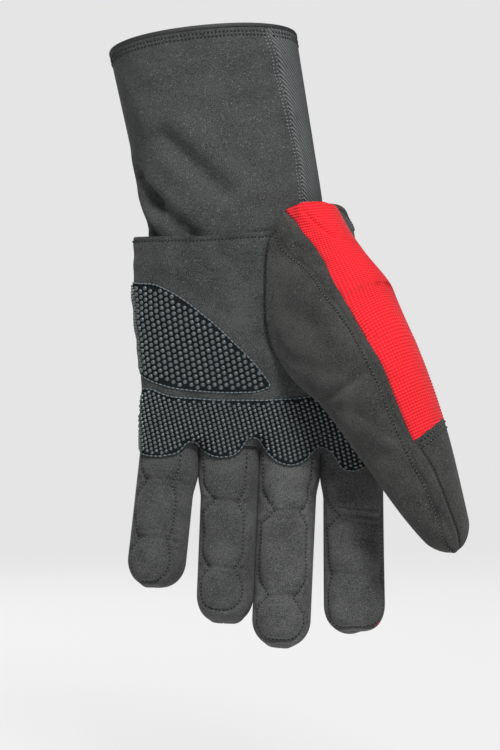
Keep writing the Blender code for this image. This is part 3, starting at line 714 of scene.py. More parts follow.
def knit_ribs(v, u):
    """Ribs across the cloth: a cosine of the distance along it."""
    return RIB_RISE * np.cos(2 * math.pi * v / RIB_PITCH)


print("mesh helpers ready")

# %% [markdown]
# ## The cuff
# The forearm tube leans a little and runs down inside the hand, so that no gap opens when the wrist
# bends.  Its front is softshell and its side and back are twill, joined by a double row of stitches.
# Two soft folds cross the front where the cloth slackens above the wrist.

# %% Cuff tube


def oval(u, power):
    """Sign of sin u times (1 - |cos u|^m)^(1/m): the through share of a section."""
    cosine = np.abs(np.cos(np.radians(u)))
    return np.sign(np.sin(np.radians(u))) * np.clip(1 - cosine**power, 0, 1) ** (1 / power)


def near(distance, width):
    """A soft bump, 1 on the line and falling away within width."""
    return np.exp(-((distance / width) ** 2))


def ridge(distance, high, wide):
    """A ridge along a line, or a groove where high is negative, in mm."""
    return high * near(distance, wide)


def turn_from(u, start):
    """The angle from start to u, between -180 and 180."""
    return (u - start + 180) % 360 - 180


CRUMPLE_WAVES = 16
CRUMPLE_LENGTHS = (7, 24)
CRUMPLE_FLATNESS = 60


def crumple(x, y, seed):
    """Worn cloth: gentle waves of many lengths in all directions, about 1 high together."""
    draw = np.random.default_rng(seed)
    lift = np.zeros(np.broadcast(x, y).shape)
    for wave in range(CRUMPLE_WAVES):
        length = draw.uniform(*CRUMPLE_LENGTHS)
        way = draw.uniform(0, math.pi)
        shift = draw.uniform(0, 2 * math.pi)
        across = (x * math.cos(way) + y * math.sin(way)) * 2 * math.pi / length
        lift = lift + length / CRUMPLE_FLATNESS * np.sin(across + shift)
    return lift


def line_distance(x, y, start, end):
    """Distance of points from a straight line between two points."""
    along = np.array(end, float) - np.array(start, float)
    share = ((x - start[0]) * along[0] + (y - start[1]) * along[1]) / (along @ along)
    share = np.clip(share, 0, 1)
    return np.hypot(x - start[0] - share * along[0], y - start[1] - share * along[1])


CUFF_LEAN = 0.19
CUFF_SQUARENESS = 2.15
CUFF_DROPS = np.array([0, 56, 72, 90, 112])
CUFF = Tube(
    CUFF_DROPS * math.hypot(1, CUFF_LEAN),
    [(CUFF_LEAN * drop, 0, -drop) for drop in CUFF_DROPS],
    (84, 80.5, 79.5, 77.5, 74),
    (58, 49, 49, 45, 40),
    CUFF_SQUARENESS,
    (0, -1, 0),
)
CUFF_END = 108 * MM
RIM_SKEW = 3.6 * MM
RIM_RAISE = 4.6 * MM
CUFF_RADIUS = 33
CUFF_LITTLE_SEAM = 196
CUFF_FOLDS = (((39, 128), (69, 94)), ((63, 156), (84, 124)), ((52, 165), (66, 150)))
HEM_ROWS = (2.8 * MM, 4.6 * MM)


def rim(u):
    """The rim's height on the cuff tube: lower to the thumb's side and higher at the front."""
    return RIM_SKEW * np.cos(np.radians(u)) - RIM_RAISE * oval(u, CUFF_SQUARENESS)


def cuff_seam(v):
    """Angle of the double seam between softshell and twill."""
    drops = np.array([0, 15, 32, 46, 60, 75, 110]) * MM
    return np.interp(v, drops, (46, 41.5, 39, 36.5, 35.5, 37.5, 38))


def cuff_relief(v, u):
    """Folds, seams, hem stitches and a slow waviness on the cuff."""
    x = np.radians(u) * CUFF_RADIUS
    y = v / MM
    facing = smooth(0.25, 0.65, np.sin(np.radians(u)))
    lift = 0.4 * np.sin(y / 17 + x / 13) * facing + 0.4 * crumple(x, y, 1) * facing
    for (top, turn), (foot, end) in CUFF_FOLDS:
        start = (math.radians(turn) * CUFF_RADIUS, top)
        gap = line_distance(x, y, start, (math.radians(end) * CUFF_RADIUS, foot))
        lift = lift + ridge(gap, high=-3.0, wide=4.6) + ridge(gap - 8, high=0.9, wide=4.5)
    seam = np.radians(u - cuff_seam(v)) * CUFF_RADIUS
    lift = lift + ridge(seam, high=-0.55, wide=0.7) + ridge(np.abs(seam) - 2, high=0.25, wide=1.2)
    little_seam = np.radians(u - CUFF_LITTLE_SEAM) * CUFF_RADIUS
    lift = lift + ridge(little_seam, high=-0.5, wide=0.8)
    below = (v - rim(u)) / MM
    lift = lift * smooth(0, 14, below)
    for row in HEM_ROWS:
        lift = lift + ridge(below - row / MM, high=-0.22, wide=0.5)
    return lift * MM


CUFF.relief = cuff_relief
print("cuff from z", CUFF.centres[0, 2], "to", CUFF.centres[-1, 2])

# %% Cuff panels
CUFF_CLOTH = 1.6 * MM
HEM_PITCH = 1.7 * MM
SEAM_PITCH = 1.6 * MM
HEM_THREAD = 0.52 * MM


def over_wrist(piece):
    """Bakes a piece's placement into its mesh."""
    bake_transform(piece)


front = Piece("cuff_front_softshell", CUFF_SOFTSHELL, DARK_THREAD, GREY_AND_GLINT_THREAD)
size = grid_size(112, 100, 0.8, 0.8)
front_grid = spread(rim, CUFF_END, cuff_seam, CUFF_LITTLE_SEAM, size)
front.sheet(CUFF, *front_grid, CUFF_CLOTH)
turns = np.linspace(48, CUFF_LITTLE_SEAM, 400)
for row in HEM_ROWS:
    sew(front, CUFF, rim(turns) + row, turns, HEM_PITCH, 1, radius=HEM_THREAD)
drops = np.linspace(0.5 * MM, CUFF_END, 300)
for aside in (2.1, 5.0):
    sew(front, CUFF, drops, cuff_seam(drops) + aside, SEAM_PITCH, 2)
cuff_front = front.finish()
over_wrist(cuff_front)
wear(cuff_front, "softshell", "cuff_front", "wrist_gaiter")
lay_flat(cuff_front, CUFF, *front_grid, "cuff_fleece")

side = Piece("cuff_side_twill", CUFF_TWILL, DARK_THREAD)
size = grid_size(112, 130, 0.8, 0.9)
side_grid = spread(rim, CUFF_END, CUFF_LITTLE_SEAM - 360, cuff_seam, size)
side.sheet(CUFF, *side_grid, CUFF_CLOTH)
turns = np.linspace(CUFF_LITTLE_SEAM - 360, 43, 400)
for row in HEM_ROWS:
    sew(side, CUFF, rim(turns) + row, turns, HEM_PITCH, 1, radius=HEM_THREAD)
cuff_side = side.finish()
over_wrist(cuff_side)
wear(cuff_side, "twill", "cuff_side")
lay_flat(cuff_side, CUFF, *side_grid, "cuff_fleece")
print("cuff panels", len(cuff_front.data.polygons), len(cuff_side.data.polygons))

# %% [markdown]
# The rim is bound with a folded tape.  Its closed profile goes over the edge and down inside; carried
# round the rim it makes the whole binding in one piece.  The fleece below it is the cuff's lining.

# %% Rim tape and lining
TAPE_DROP = (1.2, 1.2, 0.7, -0.1, -0.6, -0.8, -0.6, -0.1, 1.2, 7.0, 7.0, 1.2, 0.4, 0.2, 0.4, 1.0)
TAPE_RISE = (-0.1, 0.15, 0.35, 0.35, 0.1, -0.8, -1.8, -2.4,
             -2.6, -2.6, -1.8, -1.8, -1.5, -0.8, -0.2, -0.1)
TAPE_COLUMNS = 220


def carry_round(piece, tube, base, drop, rise, columns):
    """A closed profile of (drop, rise) points carried once round a tube below the line base(u)."""
    u = np.linspace(0, 360, columns + 1)[None, :] * np.ones((len(drop) + 1, 1))
    drop = np.append(drop, drop[0])[:, None] * MM
    rise = np.append(rise, rise[0])[:, None] * MM
    v = base(u) + drop
    points = tube.lay(v, u, rise + 0 * u)
    cloth_map = np.stack([np.radians(u) * CUFF_RADIUS * MM, v], -1)
    piece.add(points, cloth_map, [quads(*v.shape)[:, ::-1]], 0)


tape = Piece("cuff_rim_tape", RIM_TAPE)
carry_round(tape, CUFF, rim, np.array(TAPE_DROP), np.array(TAPE_RISE), TAPE_COLUMNS)
rim_tape = tape.finish()
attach(rim_tape, "cuff")
wear(rim_tape, "tape", "cuff_binding")

LINING_CLOTH = 1.2 * MM
LINING_INSET = 2.0 * MM
UNDER_TAPE = 6.5 * MM
pile = Piece("cuff_fleece", LINING_FLEECE)
size = grid_size(105, 210, 2.0, 2.0)
grid = spread(lambda turn: rim(turn) + UNDER_TAPE, CUFF_END - 4 * MM, 0, 360, size)
pile.sheet(CUFF, *grid, LINING_CLOTH, raised=-LINING_INSET)
cuff_fleece = pile.finish()
over_wrist(cuff_fleece)
wear(cuff_fleece, "fleece", "cuff_lining")
print("rim tape", len(rim_tape.data.polygons), "fleece", len(cuff_fleece.data.polygons))

# %% [markdown]
# ## The fingers
# Each finger is a stall of two panels: suede wraps the front and both sides, and red knit closes the
# back.  A pad is stitched on the front.  At each joint its seams dart inwards and creases run across,
# which is how a flat pattern is made to bend.  The stall is cut in three lengths, one round each joint.

# %% Finger tubes
FINGER_NAMES = ("little", "ring", "middle", "index")
FINGER_X = {"little": -15.2, "ring": 11.7, "middle": 39.2, "index": 67.3}
FINGER_WIDTH = {"little": 25.6, "ring": 24.2, "middle": 25.0, "index": 26.8}
FINGER_LENGTH = {"little": 65.6, "ring": 79.2, "middle": 88.8, "index": 79.6}
FINGER_LEAN = {"little": -5.9, "ring": -1.9, "middle": -3.0, "index": 0.2}
MIDDLE_JOINT = {"little": 18.0, "ring": 24.8, "middle": 27.6, "index": 27.9}
END_JOINT = {"little": 45.6, "ring": 55.8, "middle": 67.0, "index": 55.6}
PAD_LEFT = {"little": 1.2, "ring": 1.3, "middle": 1.2, "index": 1.3}
PAD_RIGHT = {"little": 7.0, "ring": 4.4, "middle": 3.2, "index": 1.0}
PAD_TIP = {"little": 1.4, "ring": 3.9, "middle": 2.2, "index": 1.0}
LEFT_DARTS = {"little": (3.2, 2.4), "ring": (5.0, 3.6), "middle": (5.5, 4.0), "index": (5.5, 1.2)}
RIGHT_DARTS = {"little": (2.6, 2.0), "ring": (3.0, 3.6), "middle": (4.0, 4.6), "index": (0.6, 0.4)}
ROOT_DEPTH = 24.5
TIP_DEPTH = 22.0
TIP_RADIUS = 12.5
TIP_WIDENING = 0.6
FINGER_SQUARENESS = 2.35
TIP_BLUNTNESS = {"little": 0.8, "ring": 0.72, "middle": 0.95, "index": 0.6}
FINGER_CURL = math.radians(16)
ROOT_ALLOWANCE = 20
HAND_TOP = 72
KNUCKLES = 109
KNUCKLE_X = 26.6
KNUCKLE_SLOPE = 0.066
BACK_SEAM = 28
DART_ABOVE = 9.0
DART_BELOW = 6.5


def root_height(x):
    """z of the finger roots at x, both in mm: the knuckles slope down to the thumb's side."""
    return -HAND_TOP - KNUCKLES - KNUCKLE_SLOPE * (x - KNUCKLE_X)


def finger_tube(name):
    """A stall on a circular arc: drop = sin(turn) / bend and reach = (1 - cos(turn)) / bend."""
    length = FINGER_LENGTH[name]
    lean = math.radians(FINGER_LEAN[name])
    down = np.array((math.sin(lean), 0, -math.cos(lean)))
    bend = FINGER_CURL / length
    knots = np.array([-ROOT_ALLOWANCE, 0, length / 3, 2 * length / 3, length])
    turn = bend * np.maximum(knots, 0)
    drop = np.where(knots > 0, np.sin(turn) / bend, knots)
    reach = (1 - np.cos(turn)) / bend
    x = FINGER_X[name]
    root = np.array((x, 0, root_height(x)))
    centres = root + drop[:, None] * down + reach[:, None] * np.array((0, -1, 0))
    width = FINGER_WIDTH[name]
    widths = np.interp(knots, (0, length), (width, width + TIP_WIDENING))
    depths = np.interp(knots, (0, length), (ROOT_DEPTH, TIP_DEPTH))
    return Tube(knots, centres, widths, depths, FINGER_SQUARENESS, (0, -1, 0), tip=TIP_RADIUS,
                bluntness=TIP_BLUNTNESS[name])


def pad_outline(name):
    """The pad's stitched line as (across, s) in mm: down the left, round the tip and up the right."""
    half = FINGER_WIDTH[name] / 2
    tip = FINGER_LENGTH[name] - PAD_TIP[name]
    shoulder = tip - 10
    s = np.linspace(-6, shoulder, 160)

    def dart(joint, depth):
        above = np.clip(1 - (joint - s) / DART_ABOVE, 0, 1) ** 1.6
        below = np.clip(1 - (s - joint) / DART_BELOW, 0, 1) ** 1.1
        return depth * np.where(s < joint, above, below)

    left = PAD_LEFT[name] - half
    right = half - PAD_RIGHT[name]
    joints = (MIDDLE_JOINT[name], END_JOINT[name])
    for joint, inward, outward in zip(joints, LEFT_DARTS[name], RIGHT_DARTS[name]):
        left = left + dart(joint, inward)
        right = right - dart(joint + 0.8, outward)
    turn = np.linspace(0, math.pi, 60)[1:-1]
    middle = (left[-1] + right[-1]) / 2
    reach = (right[-1] - left[-1]) / 2
    wide = np.sign(np.cos(turn)) * np.abs(np.cos(turn)) ** 0.8
    round_tip = shoulder + 10 * np.sin(turn) ** 0.8
    across = np.concatenate([left, middle - reach * wide, right[::-1]])
    return across, np.concatenate([s, round_tip, s[::-1]])


def path_distance(x, y, path_x, path_y):
    """Distance of points from the nearest point of a path."""
    shape = x.shape
    gap = np.hypot(x.ravel()[:, None] - path_x, y.ravel()[:, None] - path_y)
    return gap.min(axis=1).reshape(shape)


NEIGHBOURS = (("little", "ring", 19), ("ring", "middle", 90), ("middle", "index", 16))
TOUCH = -0.15


def finger_edge(name, z, side):
    """x of a finger's side, in mm, at the height z."""
    lean = math.radians(FINGER_LEAN[name])
    root = root_height(FINGER_X[name])
    half = FINGER_WIDTH[name] / 2 + TIP_WIDENING / 2 * (root - z) / FINGER_LENGTH[name]
    return FINGER_X[name] + (root - z) * math.tan(lean) + side * half / math.cos(lean)


def side_swell(name, s):
    """How far a finger's two sides swell to lie against its neighbours, in mm: left, right."""
    lean = math.radians(FINGER_LEAN[name])
    root = root_height(FINGER_X[name])
    z = root - s * math.cos(lean)
    left, right = 0 * s, 0 * s
    for one, other, reach in NEIGHBOURS:
        gap = finger_edge(other, z, -1) - finger_edge(one, z, 1)
        swell = np.clip(gap / 2 - TOUCH, 0, 2.4) * (1 - smooth(reach - 7, reach + 5, s))
        right = right + swell * (name == one)
        left = left + swell * (name == other)
    return left, right


def finger_relief(name, tube):
    """Puffed pad, sewn groove, darts and creases of one finger."""
    across, s = pad_outline(name)
    path = tube.path(s * MM) / MM
    half = FINGER_WIDTH[name] / 2
    order = np.argsort(path[: len(path) // 2])
    left_path, left_across = path[: len(path) // 2][order], across[: len(path) // 2][order]
    right_path, right_across = path[::-1][: len(path) // 2], across[::-1][: len(path) // 2]
    phase = FINGER_X[name]

    def relief(v, u):
        s, closing = tube.axial(v)
        sine = np.sin(np.radians(u))
        y = v / MM
        a = np.cos(np.radians(u)) * half * closing
        left = np.interp(y, left_path, left_across, right=half)
        right = np.interp(y, right_path, right_across, right=-half)
        gap = path_distance(a, y, across, path)
        inside = (a > left) & (a < right) & (sine > 0) & (y < left_path[-1])
        front = smooth(0.1, 0.45, sine)
        rooted = smooth(6, 14, y)
        lift = 0.25 + 0.5 * crumple(a + 40 * np.sign(sine), y, FINGER_NAMES.index(name) + 2)
        lift = lift * smooth(0.25, 0.6, np.abs(sine)) * rooted
        left_swell, right_swell = side_swell(name, s / MM)
        lift = lift + right_swell * near(turn_from(u, 0), 34) * closing
        lift = lift + left_swell * near(turn_from(u, 180), 34) * closing
        lift = lift + np.where(inside, 1.2 * smooth(0, 4.0, gap), 0) * rooted
        lift = lift + ridge(gap, high=-0.95, wide=0.7) * front * rooted
        lift = lift + np.where(inside, 0, ridge(gap - 1.3, high=0.5, wide=0.8)) * front * rooted
        for joint, depth in ((MIDDLE_JOINT[name], 0.9), (END_JOINT[name], 1.1)):
            bow = joint + 0.9 * np.cos(a / half * 2.2 + phase) - 0.1
            middle = 1 - smooth(half * 0.6, half * 0.95, np.abs(a))
            crease = ridge(y - bow, high=-depth, wide=1.5)
            crease = crease + ridge(y - bow - 3.1 - 0.2 * a / half, high=-0.5, wide=0.8)
            crease = crease + ridge(y - bow + 3.3 + 0.3 * a / half, high=-0.4, wide=0.8)
            lift = lift + crease * front * middle
            lift = lift + ridge(y - joint, high=0.4, wide=5) * smooth(0.2, 0.7, -sine)
        before_tip = 1 - smooth(-14, -10, y - tube.end / MM)
        for seam in (back_low(name)(v), back_high(name)(v)):
            away = np.radians(turn_from(u, seam)) * half
            lift = lift + ridge(away, high=-0.6, wide=0.8) * before_tip
        return lift * smooth(-14, -4, y) * smooth(-1, 4, tube.end / MM - y) * MM

    return relief


KNIT_STOP = {"little": 8.5, "ring": 8.5, "middle": 8.5, "index": 3.0}


def tip_wrap(name, v):
    """How far the suede has wrapped over the tip, from 0 to 1."""
    stop = KNIT_STOP[name] * MM
    return smooth(-stop - 8 * MM, -stop - 0.5 * MM, v - FINGERS[name].end)


def back_low(name):
    """The knit back's edge at the little finger's side."""
    return lambda v: 180 + BACK_SEAM + (88 - BACK_SEAM) * tip_wrap(name, v)


def back_high(name):
    """The knit back's edge at the thumb's side; on the index finger it peeps round near the tip."""
    peep = 58 if name == "index" else 0

    def at(v):
        turn = 360 - BACK_SEAM - (88 - BACK_SEAM) * tip_wrap(name, v)
        return turn + peep * near(v - FINGERS[name].end + 8.5 * MM, 2.6 * MM)

    return at


FINGERS = {name: finger_tube(name) for name in FINGER_NAMES}
for name in FINGER_NAMES:
    FINGERS[name].relief = finger_relief(name, FINGERS[name])
print("finger tubes", list(FINGERS))

# %% Finger panels
FINGER_CLOTH = 1.4 * MM
FINGER_STEP = 0.65
PAD_PITCH = 1.7 * MM
ROOT_BEND = 8 * MM
MIDDLE_BEND = 9 * MM
END_BEND = 6.5 * MM


def stitch_pad(piece, name, top, bottom, whole):
    """Sews the part of the pad's outline between two heights."""
    tube = FINGERS[name]
    across, s = pad_outline(name)
    v = tube.path(s * MM)
    closing = tube.axial(v)[1]
    reach = spline(tube.knots, tube.sizes[:, 0], s * MM) * closing
    u = np.degrees(np.arccos(np.clip(across * MM / reach, -0.98, 0.98)))
    half = len(v) // 2
    keep = (v >= top) & (v <= bottom)
    first = np.arange(len(v)) < half
    runs = [keep] if whole else [keep & first, keep & ~first]
    for run in runs:
        sew_sparkling(piece, tube, v[run], u[run], PAD_PITCH)


def dress_length(name, part, top, bottom, joint, reach, nodes):
    """One length of a finger stall: a suede front and a knit back round one joint."""
    tube = FINGERS[name]
    ends = [tuple(tube.frame(np.array(joint + side * reach))[0]) for side in (-1, 1)]
    length = (bottom - top) / MM
    suede_size = grid_size(length, 52, FINGER_STEP, FINGER_STEP)
    knit_size = grid_size(length, 28, 0.36, 0.9)
    low, high = back_low(name), back_high(name)
    front = Piece(f"{name}_{part}_suede", FINGER_SUEDE[name], DARK_THREAD, GREY_AND_GLINT_THREAD)
    grid = spread(top, bottom, lambda v: high(v) - 360, low, suede_size)
    front.sheet(tube, *grid, FINGER_CLOTH)
    stitch_pad(front, name, max(top, 2 * MM), bottom, part == "tip")
    back = Piece(f"{name}_{part}_knit", RED_KNIT)
    grid = spread(top, min(bottom, tube.end - KNIT_STOP[name] * MM), low, high, knit_size)
    back.sheet(tube, *grid, FINGER_CLOTH, weave=knit_ribs)
    for piece, slot, replaced in ((front, "suede", nodes[0]), (back, "red_knit", nodes[1])):
        made = piece.finish()
        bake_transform(made)
        wear(made, slot, *replaced)
        slot == "suede"
    return len(front.faces) + len(back.faces)


for name in FINGER_NAMES:
    tube = FINGERS[name]
    middle = MIDDLE_JOINT[name] * MM
    end = END_JOINT[name] * MM
    cuts = (-14 * MM, middle / 2, (middle + end) / 2, tube.end)
    nodes = ([f"{name}_base_front"], [f"{name}_base_back"])
    faces = dress_length(name, "root", cuts[0], cuts[1], 0.0, ROOT_BEND, nodes)
    nodes = ([f"{name}_middle_front", f"{name}_middle_fold"], [f"{name}_middle_back"])
    faces += dress_length(name, "shank", cuts[1], cuts[2], middle, MIDDLE_BEND, nodes)
    nodes = ([f"{name}_tip_front", f"{name}_end_fold", f"{name}_lining"], [f"{name}_tip_back"])
    faces += dress_length(name, "tip", cuts[2], cuts[3], end, END_BEND, nodes)
    print(name, "faces", faces)

# %% [markdown]
# ## The hand
# The palm, the back and the wrist yoke lie on one flattened tube.  At its lower end the tube is drawn
# in between the fingers, so that each stall grows out of it.

# %% Hand tube


def finger_lobes(s, x, through):
    """Draws the tube in between the fingers: four rounded lobes take over above the knuckles."""
    lobe = np.zeros_like(x)
    for name in FINGER_NAMES:
        reach = FINGER_WIDTH[name] / 2 + 0.5
        share = np.clip(1 - np.abs((x / MM - FINGER_X[name]) / reach) ** 2.6, 0, 1)
        lobe = np.maximum(lobe, share ** (1 / 2.6))
    floor = 0.25 * (1 - smooth(42, 52, np.abs(x / MM - KNUCKLE_X)))
    depth = (ROOT_DEPTH / 2 + 0.7) * MM * np.maximum(lobe, floor)
    depth = np.minimum(depth, 4 * np.abs(through))
    share = smooth(100 * MM, 113 * MM, s)
    return through * (1 - share) + np.sign(through) * depth * share


HAND = Tube(
    (0, 45, KNUCKLES, KNUCKLES + 20),
    [(17.5, 0, -HAND_TOP), (20.5, 0, -HAND_TOP - 45), (KNUCKLE_X, 0, -181), (KNUCKLE_X, 0, -201)],
    (96, 104, 109, 109),
    (55, 45, 28, 28),
    (2.2, 3.35, 4.5, 4.5),
    (0, -1, 0),
    heading=(0, 0, -1),
)
HAND.pinch = finger_lobes
LITTLE_SIDE_SEAM = 206
HEM_DROP = 1.9 * MM
HAND_FOLDS = (((20, 20), (-2, 34), 0.6), ((14, 30), (6, 52), 0.5), ((4, 60), (-6, 80), 0.4))


def thumb_side_seam(v):
    """Angle of the seam between palm and back at the thumb's side."""
    return np.interp(v, (0, KNUCKLES * MM), (37, -26))


def palm_hem(u):
    """The palm's upper edge."""
    return np.interp(u, (37, 74, 92, 113, 166, 206), (12.2, 12.8, 13.8, 15.0, 14.5, 14.0)) * MM


def roots_at(u, past):
    """Distance down the hand to the finger roots, and past them."""
    x = 54.5 * np.cos(np.radians(u))
    return (KNUCKLES + KNUCKLE_SLOPE * x + past) * MM


def hand_relief(v, u):
    """Seams, the hem's sewn groove and slow waves on the hand."""
    y = v / MM
    x = 52 * np.cos(np.radians(u))
    front = smooth(-0.1, 0.3, np.sin(np.radians(u)))
    lift = 0.4 * crumple(x, y, 7)
    lift = lift - 2.2 * near(u - 184, 26) * near(y - 70, 24)
    hem = y - palm_hem(u) / MM
    lift = lift + ridge(hem - HEM_DROP / MM, high=-0.3, wide=0.5) * front
    lift = lift + ridge(hem - 0.5, high=0.25, wide=1.0) * front
    for start, end, depth in HAND_FOLDS:
        lift = lift + ridge(line_distance(x, y, start, end), high=-depth, wide=3) * front
    for seam in (LITTLE_SIDE_SEAM, thumb_side_seam(v)):
        away = np.radians(turn_from(u, seam)) * 24
        lift = lift + ridge(away, high=-0.6, wide=0.9)
    return lift * smooth(0, 6, y) * (1 - smooth(96, 106, y)) * MM


HAND.relief = hand_relief
PALM_CLOTH = 1.6 * MM
palm = Piece("palm_suede_panel", PALM_SUEDE, DARK_THREAD)
size = grid_size(96, 130, 0.75, 0.75)
grid = spread(palm_hem, lambda u: roots_at(u, -1.0), thumb_side_seam, LITTLE_SIDE_SEAM, size)
palm.sheet(HAND, *grid, PALM_CLOTH)
turns = np.linspace(72, 200, 300)
sew(palm, HAND, palm_hem(turns) + HEM_DROP, turns, SEAM_PITCH, 1, radius=0.5 * MM)
palm_panel = palm.finish()
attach(palm_panel, "hand")
wear(palm_panel, "suede", "palm_panel")
print("palm", len(palm_panel.data.polygons))

# %% [markdown]
# Between the fingers a strip of suede closes the glove.  It is a shallow sheet under the roots, which
# shows only in the three gaps.

# %% Finger web
WEB_DEPTH = 6.5 * MM
WEB_CLOTH = 1.2 * MM
WEB_SIDES = (-26, 79)
WEB_ROWS = 14
WEB_COLUMNS = 90


def web_grid():
    """A sheet across the roots: x runs over the fingers, y through them, and z dips with both."""
    x, y = np.meshgrid(np.linspace(*WEB_SIDES, WEB_COLUMNS), np.linspace(-1, 1, WEB_ROWS))
    z = root_height(x) - 1.5 + 2.5 * y**2
    return np.stack([x * MM, y * WEB_DEPTH, z * MM], axis=-1)


web = Piece("finger_web_suede", PALM_SUEDE)
lower = web_grid()
layers = np.stack([lower + np.array((0, 0, WEB_CLOTH)), lower])
web.add(layers, np.zeros((layers.size // 3, 2)), closed_faces(WEB_ROWS, WEB_COLUMNS), 0)
finger_web = web.finish()
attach(finger_web, "hand")
wear(finger_web, "suede", "finger_web")
print("web", len(finger_web.data.polygons))

# %% [markdown]
# The back is rib knit, which stretches over the knuckles, and a suede yoke closes it at the wrist,
# where it must not stretch.  So they are two panels that meet at one seam.

# %% Back and wrist yoke
YOKE_LENGTH = 34 * MM


def past_thumb(v):
    """The seam at the thumb's side, one turn on, so that the back runs up to it."""
    return 360 + thumb_side_seam(v)


def yoke_top(u):
    """The yoke's upper edge, which dips at the thumb's side."""
    return 9 * MM * near(u - 358, 17)


yoke = Piece("yoke_suede", PALM_SUEDE, DARK_THREAD)
size = grid_size(34, 150, 0.9, 0.9)
yoke_grid = spread(yoke_top, YOKE_LENGTH, LITTLE_SIDE_SEAM, past_thumb, size)
yoke.sheet(HAND, *yoke_grid, PALM_CLOTH)
turns = np.linspace(LITTLE_SIDE_SEAM + 2, 394, 400)
for drop in (yoke_top(turns) + 2 * MM, 0 * turns + YOKE_LENGTH - 2 * MM):
    sew(yoke, HAND, drop, turns, SEAM_PITCH, 1)
wrist_yoke = yoke.finish()
back = Piece("back_knit", RED_KNIT)
size = grid_size(80, 140, 0.36, 1.0)
grid = spread(YOKE_LENGTH, lambda u: roots_at(u, 1.5), LITTLE_SIDE_SEAM, past_thumb, size)
back.sheet(HAND, *grid, PALM_CLOTH, weave=knit_ribs)
back_panel = back.finish()
for piece, slot, node in ((wrist_yoke, "suede", "wrist_yoke"), (back_panel, "red_knit", "back_panel")):
    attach(piece, "hand")
    wear(piece, slot, node)
lay_flat(wrist_yoke, HAND, *yoke_grid, "hand_fleece")
lay_flat(back_panel, HAND, *grid, "hand_fleece")
print("back", len(back_panel.data.polygons), "yoke", len(wrist_yoke.data.polygons))

# %% [markdown]
# ## Dotted rubber patches
# Both patches are thin rubber, sewn on with a pale thread along the edge and covered with small round
# dots in staggered columns.  The dots are real shapes, because they catch the light one by one.

# %% Patch helpers
PATCH_RISE = 0.5 * MM
PATCH_CLOTH = 0.9 * MM


def arc_angles(s, low, high):
    """Angles round the hand at height s, with their distances along the skin in mm."""
    u = np.linspace(low, high, 600)
    points = HAND.skin(np.full_like(u, s), u)
    steps = np.linalg.norm(np.diff(points, axis=0), axis=1)
    return u, np.concatenate([[0], np.cumsum(steps)]) / MM


def dot_places(top, bottom, low, high, height, pitch, lean, margin, closed=True):
    """Staggered dots inside a patch: columns a pitch apart along the skin, leaning with height."""
    u, reach = arc_angles(height * MM, 10, 210)
    columns = np.arange(-40, int(reach[-1] / pitch[0]) + 40)
    rows = np.arange(0, 140 / pitch[1])
    column, row = np.meshgrid(columns, rows)
    s = (row + 0.5 * (column % 2)) * pitch[1]
    place = column * pitch[0] - lean * (s - height)
    turn = np.interp(place, reach, u, left=-999, right=-999)
    good = (turn > low) & (turn < high)
    s, turn, place = s[good], turn[good], place[good]
    inside = (s > top(turn) / MM + margin) & (s < bottom(turn) / MM - margin)
    if closed:
        ends = np.interp((low, high), u, reach)
        inside &= (place > ends[0] + margin) & (place < ends[1] - margin)
    return s[inside] * MM, turn[inside]


def edge_path(top, bottom, low, high, count=220):
    """The closed line round a patch, as (v, u)."""
    u = np.linspace(low, high, count)
    side = np.linspace(0, 1, 30)[1:-1]
    right = top(np.array(low)) + (bottom(np.array(low)) - top(np.array(low))) * side
    left = bottom(np.array(high)) + (top(np.array(high)) - bottom(np.array(high))) * side
    v = np.concatenate([right, bottom(u), left, top(u)[::-1], right[:1]])
    turns = np.concatenate([0 * right + low, u, 0 * left + high, u[::-1], [low]])
    return v, turns


def curve(points):
    """A smooth function of u through (height in mm, angle) points."""
    heights, angles = np.array(sorted(points, key=lambda point: point[1])).T
    return lambda u: spline(angles, heights, np.clip(u, angles[0], angles[-1])) * MM


def make_patch(name, top, bottom, low, high, dots, radius, cords):
    """A rubber sheet with its dots and its edge threads."""
    piece = Piece(name, PATCH_RUBBER, DOT_RUBBER, EDGE_THREAD)
    size = grid_size(45, 75, 0.8, 0.8)
    piece.sheet(HAND, *spread(top, bottom, low, high, size), PATCH_CLOTH, raised=PATCH_RISE)
    press_dots(piece, HAND, *dots, radius, 0.75 * MM, PATCH_RISE, 1)
    for v, u in cords:
        sew(piece, HAND, v, u, 2.0 * MM, 2, length=0.9, radius=0.3 * MM, height=PATCH_RISE)
    return piece


print("patch helpers ready")

# %% Heel patch
HEEL_LOW = 84.5
HEEL_HIGH = 186.0
heel_top = curve(((34.4, 186), (35.4, 160), (37, 139), (45, 120), (58, 103), (73, 89), (79.5, 84.5)))
heel_bottom = curve(((81.2, 84.5), (83.2, 90), (83.7, 99), (83.2, 118), (81.4, 136), (77.4, 158),
                     (71, 186)))
dots = dot_places(heel_top, heel_bottom, HEEL_LOW, HEEL_HIGH, 60, (2.54, 2.51), 0.08, 1.5)
cords = [edge_path(heel_top, heel_bottom, HEEL_LOW, HEEL_HIGH)]
heel = make_patch("heel_rubber", heel_top, heel_bottom, HEEL_LOW, HEEL_HIGH, dots, 1.1 * MM, cords)
heel_patch = heel.finish()
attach(heel_patch, "hand")
wear(heel_patch, "dotted_rubber", "heel_patch")
print("heel dots", len(dots[0]))

# %% [markdown]
# The grip patch crosses the roots of all four fingers.  One sheet would tear there when a finger
# bends, so it is cut in four, one part over each finger.  Its lower edge is scalloped.

